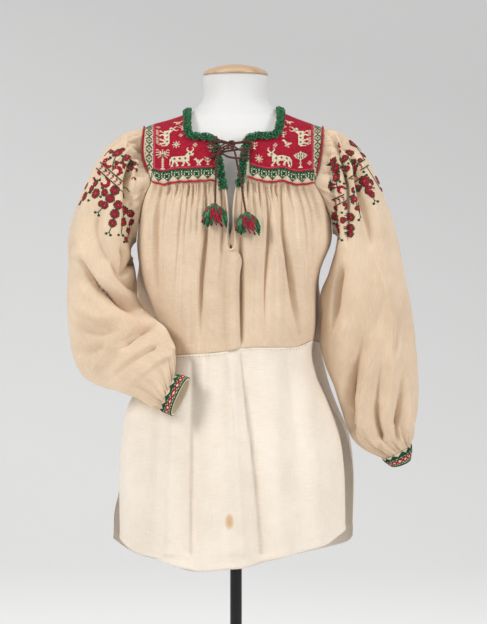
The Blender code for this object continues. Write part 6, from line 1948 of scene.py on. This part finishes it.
def dress_form():
    """Smooth torso with its neck; the neck, its foot and the chest are a little fuller than their solid."""
    top, bend, foot = FORM_ROWS[0][0], 160, FORM_ROWS[-1][0]
    levels = np.concatenate([np.linspace(top, bend, 42), np.linspace(bend, foot, 30)[1:]])
    count = 80
    rings = []
    for row, (middle, half, front, back, power) in zip(levels, smooth(FORM_ROWS, levels)):
        cosine, sine = squared(circle(count), power)
        fuller = sum(more * math.exp(-((row - at) / reach) ** 2) for at, reach, more in NECK_FULLER)
        across = (middle - CENTRE_COLUMN + (half + fuller) * cosine) * SQUARE
        chest = front + CHEST_FULLER[2] * math.exp(-((row - CHEST_FULLER[0]) / CHEST_FULLER[1]) ** 2)
        depth = np.where(sine > 0, back, chest) * sine
        rings.append(np.column_stack([across, depth, np.full(count, sheet_height(row))]))
    faces = grid_faces(len(rings), count, wrap=True, caps=True)
    mesh_piece("torso_cover", np.array(rings), faces, FINISHES["form"], "form_cover", ["form_torso"])


def stand():
    """Wooden neck cap, pole and round base."""
    low = sheet_height(FORM_ROWS[0][0]) + STAND_GAP
    high = sheet_height(NECK_CAP_TOP)
    rim = NECK_CAP_RADIUS
    dome = [(AXIS_RADIUS, high)]
    for turn in np.radians(np.linspace(5, 87, 22)):
        dome.append((rim * 0.985 * math.sin(turn) ** 1.25,
                     low + 0.0042 + (high - low - 0.0042) * math.cos(turn) ** 1.25))
    edge = rounded([(rim * 0.985, low + 0.0042), (rim, low + 0.0030), (rim, low + 0.0008), (rim - 0.0014, low)])
    turned_piece("cap_of_wood", np.vstack([dome, edge, [(AXIS_RADIUS, low)]]), FINISHES["wood"], "cap_wood",
                 "neck_cap", ((FORM_ROWS[0][1] - CENTRE_COLUMN) * SQUARE, 0.002), 96)
    foot = sheet_height(FORM_ROWS[-1][0]) - STAND_GAP
    thick = BASE_THICKNESS
    flange, flange_deep, flange_end = POLE_FLANGE
    collar, collar_high, collar_end = POLE_COLLAR
    post = rounded([(AXIS_RADIUS, foot), (flange, foot), (flange, foot - flange_deep),
                    (POLE_RADIUS, foot - flange_end), (POLE_RADIUS, thick + collar_end),
                    (collar, thick + collar_high), (collar, thick + STAND_GAP), (AXIS_RADIUS, thick + STAND_GAP)])
    turned_piece("black_pole", post, FINISHES["metal"], "stand_metal", "pole")
    plate = rounded([(AXIS_RADIUS, thick), (BASE_RADIUS, thick), (BASE_RADIUS, 0.0), (AXIS_RADIUS, 0.0)])
    turned_piece("round_base", plate, FINISHES["metal"], "stand_metal", "base", steps=128)


def slit_hem():
    """Narrow rolled hem down both edges of the slit, round its foot."""
    line = [body_point(across_body(column, row), row, False, SLIT_HEM_LIFT) for column, row in SLIT_HEM]
    heap = Heap()
    heap.add(*tube(resampled(line, 0.0022), SLIT_HEM_RADIUS, 8))
    heap.piece("rolled_slit_hem", TAN_LINEN, "linen")


def red_cords():
    """Twisted red cord on the yoke's seams and round the top of each armhole."""
    lift = PIPING_RADIUS + TRIM_LIFT

    def cord_piece(name, line, node):
        heap = Heap()
        twisted(heap, line, PIPING_RADIUS, 0.0052, 6)
        heap.piece(name, FINISHES["red_cord"], "red_cord", [node])

    for side in SIDES:
        columns = np.linspace(*CORD_RUNS[side], 40)
        rows = smooth(YOKE_SEAM, columns) + 0.5 * np.sin(columns * 0.62) * (0.6 if side == "right" else 1.0)
        line = body_point(across_body(columns, rows), rows, False, lift + 0 * rows)
        cord_piece(f"red_cord_front_{side}", line, f"piping_front_{side}")
    columns = np.linspace(*CORD_RUNS["back"], 70)
    rows = BACK_YOKE_ROW + 0.4 * np.sin(columns * 0.55)
    line = body_point(across_body(columns, rows), rows, True, lift + 0 * rows)
    cord_piece("red_cord_back", line, "piping_back")
    for side, inset in CORD_INSETS.items():
        front, back = np.linspace(0.82, 0.02, 22), np.linspace(0.03, 0.84, 20)
        line = [yoke_point(smooth(YOKE_OUTER[side], s) + inset, s, False, lift) for s in front]
        line += [yoke_point(back_outer(side, s) + inset, s, True, lift) for s in back]
        cord_piece(f"red_cord_armhole_{side}", line, f"piping_armhole_{side}")


def neck_line():
    """Middle line of the wool edging and the direction away from the cloth."""
    line, normals = [], []
    lift = EDGING_HALF_THICKNESS + TRIM_LIFT
    left, right, right_back = EDGING_COLUMNS

    def add(low, high, far):
        normal = (high - low) / np.linalg.norm(high - low)
        line.append(low + normal * far)
        normals.append(normal)

    def on_yoke(column, share, behind):
        add(yoke_point(column, share, behind), yoke_point(column, share, behind, 0.001), lift)

    def on_front(places):
        for column, row in places:
            ridge, seam = shoulder_row(column), smooth(YOKE_SEAM, column)
            share = (row - ridge) / (seam - ridge)
            if share <= 1:
                on_yoke(column, share, False)
            else:
                across = across_body(column, row)
                add(body_point(across, row), body_point(across, row, raised=1.0), lift + 0.0012)

    on_front(EDGING_FRONT_LEFT)
    on_yoke(left, EDGING_AT_RIDGE, False)
    for share, inset in EDGING_BACK_ROWS:
        on_yoke(left + inset, share, True)
    for column in np.linspace(204, 266, 6):
        on_yoke(column, 0.295, True)
    for share, inset in EDGING_BACK_ROWS[::-1]:
        on_yoke(right_back - inset, share, True)
    on_yoke(right, EDGING_AT_RIDGE, False)
    on_front(EDGING_FRONT_RIGHT[::-1])
    line, normals = np.array(line), np.array(normals)
    steps = run_of(line) / run_of(line)[-1]
    shares = np.linspace(0, 1, EDGING_STEPS)
    path, up = levelled(steps, line, shares), levelled(steps, normals, shares)
    run = unit(np.gradient(path, axis=0))
    aside = unit(np.cross(up, run))
    return path, run, aside, np.cross(run, aside)


def wool_edging():
    """Looped green wool sewn over the neck edge and the slit's edges."""
    path, run, aside, up = neck_line()
    wide, thick = EDGING_HALF_WIDTH, EDGING_HALF_THICKNESS * 0.8
    turns = np.arange(12) * math.pi / 6
    along_it = np.arange(len(path))
    grow = (0.90 + 0.07 * np.sin(along_it * 0.9) + 0.06 * np.sin(along_it * 0.37))[:, None, None]
    rings = path[:, None] + aside[:, None] * (wide * 0.86 * np.cos(turns))[None, :, None] * grow
    rings = rings + up[:, None] * (thick * np.sin(turns))[None, :, None]
    mesh_piece("wool_edging_core", rings, grid_faces(len(path), 12, wrap=True, caps=True),
               FINISHES["dark_wool"], "green_wool", ["neck_edging"])
    loops = {"wool": Heap(), "light_wool": Heap()}
    rows = 7
    for k in range(len(path)):
        for r in range(rows):
            n = k * rows + r
            if (n * 7) % 5 > 2:
                continue
            turn = math.pi * (r + 0.5 + uneven(n, -0.3, 0.3)) / rows
            off = aside[k] * math.cos(turn) * wide * 0.84 + up[k] * math.sin(turn) * thick
            out = unit(aside[k] * math.cos(turn) * 0.6 + up[k] * math.sin(turn))
            spin = uneven(n + 3, 0, 6.3)
            flat = run[k] * math.cos(spin) + np.cross(out, run[k]) * math.sin(spin)
            loop_height = uneven(n + 1, *LOOP_HEIGHT) * uneven(k // 3, 0.7, 1.35)
            loop_width = uneven(n + 2, *LOOP_WIDTH)
            arc = np.linspace(-0.3, math.pi + 0.3, 6)
            line = path[k] + off + out * (np.sin(arc) * loop_height)[:, None]
            line = line + flat * (np.cos(arc) * loop_width)[:, None]
            yarn = "light_wool" if n % 3 == 1 else "wool"
            loops[yarn].add(*tube(line, uneven(n + 5, *LOOP_RADIUS), 4, caps=False))
    loops["wool"].piece("wool_edging_loops", FINISHES["wool"], "green_wool")
    loops["light_wool"].piece("wool_edging_light_loops", FINISHES["light_wool"], "green_wool")


def front_surface(column, row, lift):
    """Point a given depth in front of the yoke or of the gathered front, at its sheet place."""
    seam = smooth(YOKE_SEAM, column)
    if row <= seam:
        ridge = shoulder_row(column)
        depth = yoke_base(column, (row - ridge) / (seam - ridge), False)[1]
    else:
        depth = body_point(across_body(column, row), row)[1]
    return place(column, row, depth - lift)


def knot():
    """Knot of the lace, a few tight turns, and the slack of the lace wound over the crossings beside it."""
    centre = front_surface(*LACE_KNOT, LACE_HEIGHT)
    heap = Heap()
    for k in range(4):
        turn = np.linspace(0, 2 * math.pi, 22)
        tilt = k * math.pi / 4 + 0.3
        wide = LACE_KNOT_RADIUS * uneven(k, 0.7, 1.15)
        ring = np.column_stack([np.cos(turn) * wide, np.sin(turn) * 0.0026 - 0.0006 * k, np.sin(turn) * 0.0026])
        x, z = ring[:, 0].copy(), ring[:, 2].copy()
        ring[:, 0] = x * math.cos(tilt) - z * math.sin(tilt)
        ring[:, 2] = x * math.sin(tilt) + z * math.cos(tilt)
        twisted(heap, centre + ring, LACE_RADIUS, 0.0046)
    ball = np.linspace(0, math.pi, 9)
    core = centre + np.column_stack([np.cos(ball) * 0.0030, 0 * ball, 0 * ball])
    heap.add(*tube(core, np.maximum(np.sin(ball), 0.05) * 0.0028, 8))
    for slack in LACE_SLACK:
        table = np.asarray(slack, float)
        shares = np.linspace(0, 1, 5 * len(table))
        path = levelled(np.linspace(0, 1, len(table)), table, shares)
        stations = np.array([front_surface(*station) for station in path])
        twisted(heap, stations, LACE_RADIUS, 0.0056, step=0.0008)
    heap.piece("lace_tied_knot", FINISHES["lace"], "lace_cord", ["lace_knot"])


def wool_tassel(name, head, wool, half_width, half_height, half_depth):
    """Full round tassel: bound head and many cut strands, most of them green."""
    depth = front_surface(wool[0], wool[1], TASSEL_DEPTH)[1]
    top = place(head[0], head[1], depth)
    middle = place(wool[0], wool[1], depth)
    reach = np.array([half_width, half_depth, half_height]) * SQUARE
    crown = top - np.array([0, 0, TASSEL_HEAD_RADIUS * 0.8])
    heaps = {"wool": Heap(), "light_wool": Heap(), "red_wool": Heap()}
    ball = np.arange(14) * math.pi / 13
    line = crown + np.column_stack([0 * ball, 0 * ball, np.cos(ball) * TASSEL_HEAD_RADIUS * 0.8])
    heaps["wool"].add(*tube(line, np.maximum(np.sin(ball), 0.05) * TASSEL_HEAD_RADIUS * 0.8, 12))
    for k in range(TASSEL_STRANDS):
        down = (k + 0.5) / TASSEL_STRANDS
        tilt = math.acos(0.42 - 1.40 * down ** 0.72)
        turn = k * GOLDEN_TURN
        spread = np.array([math.sin(tilt) * math.cos(turn), math.sin(tilt) * math.sin(turn), -math.cos(tilt)])
        tip = middle + spread * reach * uneven(k, 0.80, 1.18) + np.array([uneven(k + 7, -0.003, 0.003), 0, 0])
        start = crown + spread * TASSEL_HEAD_RADIUS * 0.35
        t = np.linspace(0, 1, 7)[:, None]
        aside = unit(np.cross(spread, (0.3, 0.5, 0.8)))
        curl = uneven(k + 4, -0.0055, 0.0055)
        line = start + (tip - start) * t + aside * curl * np.sin(t * math.pi) - np.array([0, 0, 0.0034]) * t * t
        line = line + spread * 0.0030 * np.sin(t * math.pi)
        middle_strand = -0.42 < spread[0] < 0.50 and spread[1] < 0.3 and down < 0.72
        yarn = "red_wool" if middle_strand and k % 5 or k % 7 == 3 else "light_wool" if k % 4 == 2 else "wool"
        wide = uneven(k + 2, 0.0012, 0.0022) * np.array([0.7, 1.0, 1.1, 1.15, 1.2, 1.2, 0.8])
        heaps[yarn].add(*tube(line, wide, 4))
    return [heap.piece(f"{name}_{yarn}", FINISHES[yarn], "tassel_wool", [name] if yarn == "wool" else [])
            for yarn, heap in heaps.items()]


def lacing(tassels):
    """Lace across the slit with its knot, and its two free ends; their tassels are made apart from it."""
    knot()
    for name, stations in LACES.items():
        points = np.array([front_surface(*station) for station in stations])
        heap = Heap()
        line = twisted(heap, points, LACE_RADIUS * 1.25, 0.0060, step=0.0007)
        made = heap.piece(f"twisted_{name}", FINISHES["lace"], "lace_cord", [name])
        if name in LACE_TASSELS:
            tuple(line[0])
            [tuple(p) for p in line]
            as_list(tassels[LACE_TASSELS[name]])


def stitch(heap, places, behind, radii, flattest):
    """One short stitch laid on the skirt through sheet places, where the cloth lies flat enough for it."""
    side = 1.0 if behind else -1.0
    line = []
    for column, row in places:
        aim = place(column, row, 0.0)
        found = TREES["lower_back" if behind else "lower_front"].ray_cast(
            Vector((aim[0], side, aim[2])), Vector((0, -side, 0)))[0]
        if found is not None:
            line.append(np.array(found) + np.array([0, 0.0002 * side, 0]))
    if len(line) == len(places) and np.ptp(np.array(line)[:, 1]) < flattest:
        heap.add(*tube(line, radii, 4))


def seam_stitches():
    """Small running stitches along the hems and under the waist seam."""
    hem, waist = Heap(), Heap()
    for behind in (False, True):
        middle, half = body_ring(HEM_ROW)[:2]
        for k in range(HEM_STITCHES):
            share = -0.93 + 1.86 * (k + 0.5) / HEM_STITCHES
            row = smooth(HEM, middle + share * half) - (HEM_DEPTH + 0.0008) / SQUARE
            ring_middle, ring_half = body_ring(row)[:2]
            places = [(ring_middle + (share + part) * ring_half, row) for part in (-0.0040, 0.0, 0.0040)]
            stitch(hem, places, behind, HEM_STITCH_RADII, math.inf)
        middle, half = body_ring(WAIST_ROW + 1.0)[:2]
        for k in range(WAIST_STITCHES):
            share = -0.92 + 1.84 * (k + 0.5) / WAIST_STITCHES
            long = uneven(k, 0.4, 1.3)
            columns = [middle + (share + part * long) * half for part in (-0.0060, 0.0, 0.0060)]
            places = [(column, smooth(WAIST_SEAM, column) + 1.0) for column in columns]
            stitch(waist, places, behind, WAIST_STITCH_RADII, STITCH_FLATTEST)
    hem.piece("hem_stitches", FINISHES["sewing"], "pale_linen")
    waist.piece("waist_stitches", FINISHES["brown_sewing"], "pale_linen")


def sleeve_work():
    """Worked bands, flowers and pendants on both sleeves, in front and behind."""
    for behind in (False, True):
        for side in SIDES:
            needle = Needle(TREES[side], behind)
            work = SLEEVE_WORK[side]
            for band in work["bands"]:
                needle.leaf_band(*band)
            for flower in work["flowers"]:
                needle.flower(*flower)
            for bud in work["buds"]:
                needle.bud(*bud)
            for line in work["stems"]:
                needle.stem("dark", line, 0.0008)
            for column, row, size in work["dots"]:
                needle.oval("dark", column, row, size, size * 0.85, 20)
            for pendant in work["pendants"]:
                needle.pendant(*pendant)
            needle.pieces(f"sleeve_work_{side}" + ("_back" if behind else ""))


def studio():
    """Pale floor that sweeps up into the backdrop, soft lights and the air."""
    near, bend, wall = PAPER_FLOOR
    sweep = [(near, 0.0), (wall - bend, 0.0)]
    for turn in np.linspace(0, math.pi / 2, 14):
        sweep.append((wall - bend + bend * math.sin(turn), bend - bend * math.cos(turn)))
    sweep.append((wall, PAPER_TOP))
    verts = [(x, y, z - 0.0005) for y, z in sweep for x in (-PAPER_HALF, PAPER_HALF)]
    faces = [(2 * k, 2 * k + 1, 2 * k + 3, 2 * k + 2) for k in range(len(sweep) - 1)]
    data = bpy.data.meshes.new("studio_paper")
    data.from_pydata(verts, [], faces)
    data.shade_smooth()
    # the backdrop carries painted shade and a painted glow
    data.materials.append(backdrop("paper", PAPER_PAINTED_LIT_FOOT, PAPER_PAINTED_SHADE_TOP))
    in_scene("studio_paper", data)
    for name, place_now, aim, size, power, tint in LIGHTS:
        lamp = bpy.data.lights.new(name, "AREA")
        lamp.shape = "RECTANGLE"
        lamp.size, lamp.size_y = size
        lamp.energy = power
        lamp.color = tint
        made = in_scene(name, lamp)
        made.location = place_now
        made.rotation_euler = (Vector(aim) - Vector(place_now)).to_track_quat("-Z", "Y").to_euler()
    world = bpy.data.worlds.new("studio")
    world.use_nodes = True
    air = world.node_tree.nodes["Background"].inputs
    air["Color"].default_value = (*AIR_TINT, 1.0)
    air["Strength"].default_value = AIR_STRENGTH
    bpy.context.scene.world = world
    bpy.context.scene.view_settings.view_transform = "Standard"


def camera():
    """Camera at the photograph's distance, height and frame."""
    lens = bpy.data.cameras.new("camera")
    lens.sensor_fit = "VERTICAL"
    lens.sensor_height = 24.0
    columns, rows = VIEW_SQUARES
    lens.lens = lens.sensor_height * EYE_DISTANCE / (rows * SQUARE)
    lens.shift_x = (columns / 2 - CENTRE_COLUMN) / rows
    made = in_scene("camera", lens)
    made.location = (0.0, -EYE_DISTANCE, EYE_HEIGHT)
    made.rotation_euler = (math.pi / 2, 0.0, 0.0)
    bpy.context.scene.camera = made


studio()
camera()
FINISHES = {
    "crimson": thread("crimson_thread", (0.50, 0.010, 0.042), (0.28, 0.004, 0.018), sheen=0.04),
    "deep": thread("deep_crimson_thread", (0.42, 0.008, 0.034), (0.20, 0.003, 0.014), sheen=0.04),
    "rose": thread("rose_thread", (0.66, 0.09, 0.14), (0.46, 0.035, 0.07), sheen=0.08),
    "cream": thread("cream_thread", (0.86, 0.79, 0.62), (0.60, 0.52, 0.36)),
    "green": thread("green_thread", (0.10, 0.29, 0.14), (0.025, 0.12, 0.05), sheen=0.08),
    "dark_green": thread("dark_green_thread", (0.020, 0.10, 0.040), (0.005, 0.030, 0.013), sheen=0.05),
    "red_cord": thread("red_cord", (0.60, 0.02, 0.035), (0.36, 0.008, 0.016)),
    "lace": laid_cord("lace_cord", (0.20, 0.016, 0.030), (0.016, 0.060, 0.026), 0.0052),
    "wool": thread("green_wool", (0.026, 0.17, 0.065), (0.006, 0.060, 0.024), 900.0, 0.0004, 0.15),
    "light_wool": thread("light_green_wool", (0.075, 0.31, 0.13), (0.020, 0.14, 0.06), 900.0, 0.0004, 0.2),
    "dark_wool": thread("dark_green_wool", (0.008, 0.065, 0.022), (0.003, 0.020, 0.008), 900.0, 0.0004, 0.1),
    "red_wool": thread("crimson_wool", (0.46, 0.018, 0.050), (0.15, 0.005, 0.014), 900.0, 0.0004, 0.12),
    "sewing": thread("sewing_thread", (0.66, 0.55, 0.40), (0.42, 0.32, 0.21)),
    "brown_sewing": thread("brown_sewing_thread", (0.30, 0.20, 0.12), (0.16, 0.10, 0.06)),
    "form": jersey("form_jersey"),
    "wood": turned_wood("cap_wood_finish"),
    "metal": black_metal("stand_black"),
}
TAN_LINEN = linen("tan_linen", (0.79, 0.625, 0.455), (0.61, 0.445, 0.30))
PALE_CLOTH = linen("pale_linen_stained", (0.90, 0.815, 0.71), (0.78, 0.685, 0.57), stained=True)
PALE_CLOTH_BACK = linen("pale_linen_plain", (0.90, 0.815, 0.71), (0.78, 0.685, 0.57))
YOKE_GROUND = linen("yoke_ground", (0.80, 0.69, 0.52), (0.64, 0.52, 0.36))

TREES = {}
pieces = {}
pieces["upper_front"], TREES["upper_front"] = front_cloth()
pieces["upper_back"], TREES["upper_back"] = back_cloth()
pieces["lower_front"], TREES["lower_front"] = skirt_cloth(False)
pieces["lower_back"], TREES["lower_back"] = skirt_cloth(True)
for part_side in SIDES:
    pieces["yoke_" + part_side] = yoke_cloth_front(part_side)[0]
pieces["yoke_back"] = yoke_cloth_back()[0]
for part_side in SIDES:
    pieces["sleeve_" + part_side], TREES[part_side] = sleeve_cloth(part_side)
for part_side in SIDES:
    pieces["band_" + part_side], band_points = wrist_band(part_side)
    band_stitches(part_side, band_points)
front_face = YokeFace(False)
for part_side in SIDES:
    yoke_front_stitches(part_side, front_face)
yoke_back_stitches(YokeFace(True))
sleeve_work()
slit_hem()
red_cords()
wool_edging()
lacing({tassel_name: wool_tassel(tassel_name, *sizes) for tassel_name, sizes in TASSELS.items()})
seam_stitches()
dress_form()
stand()
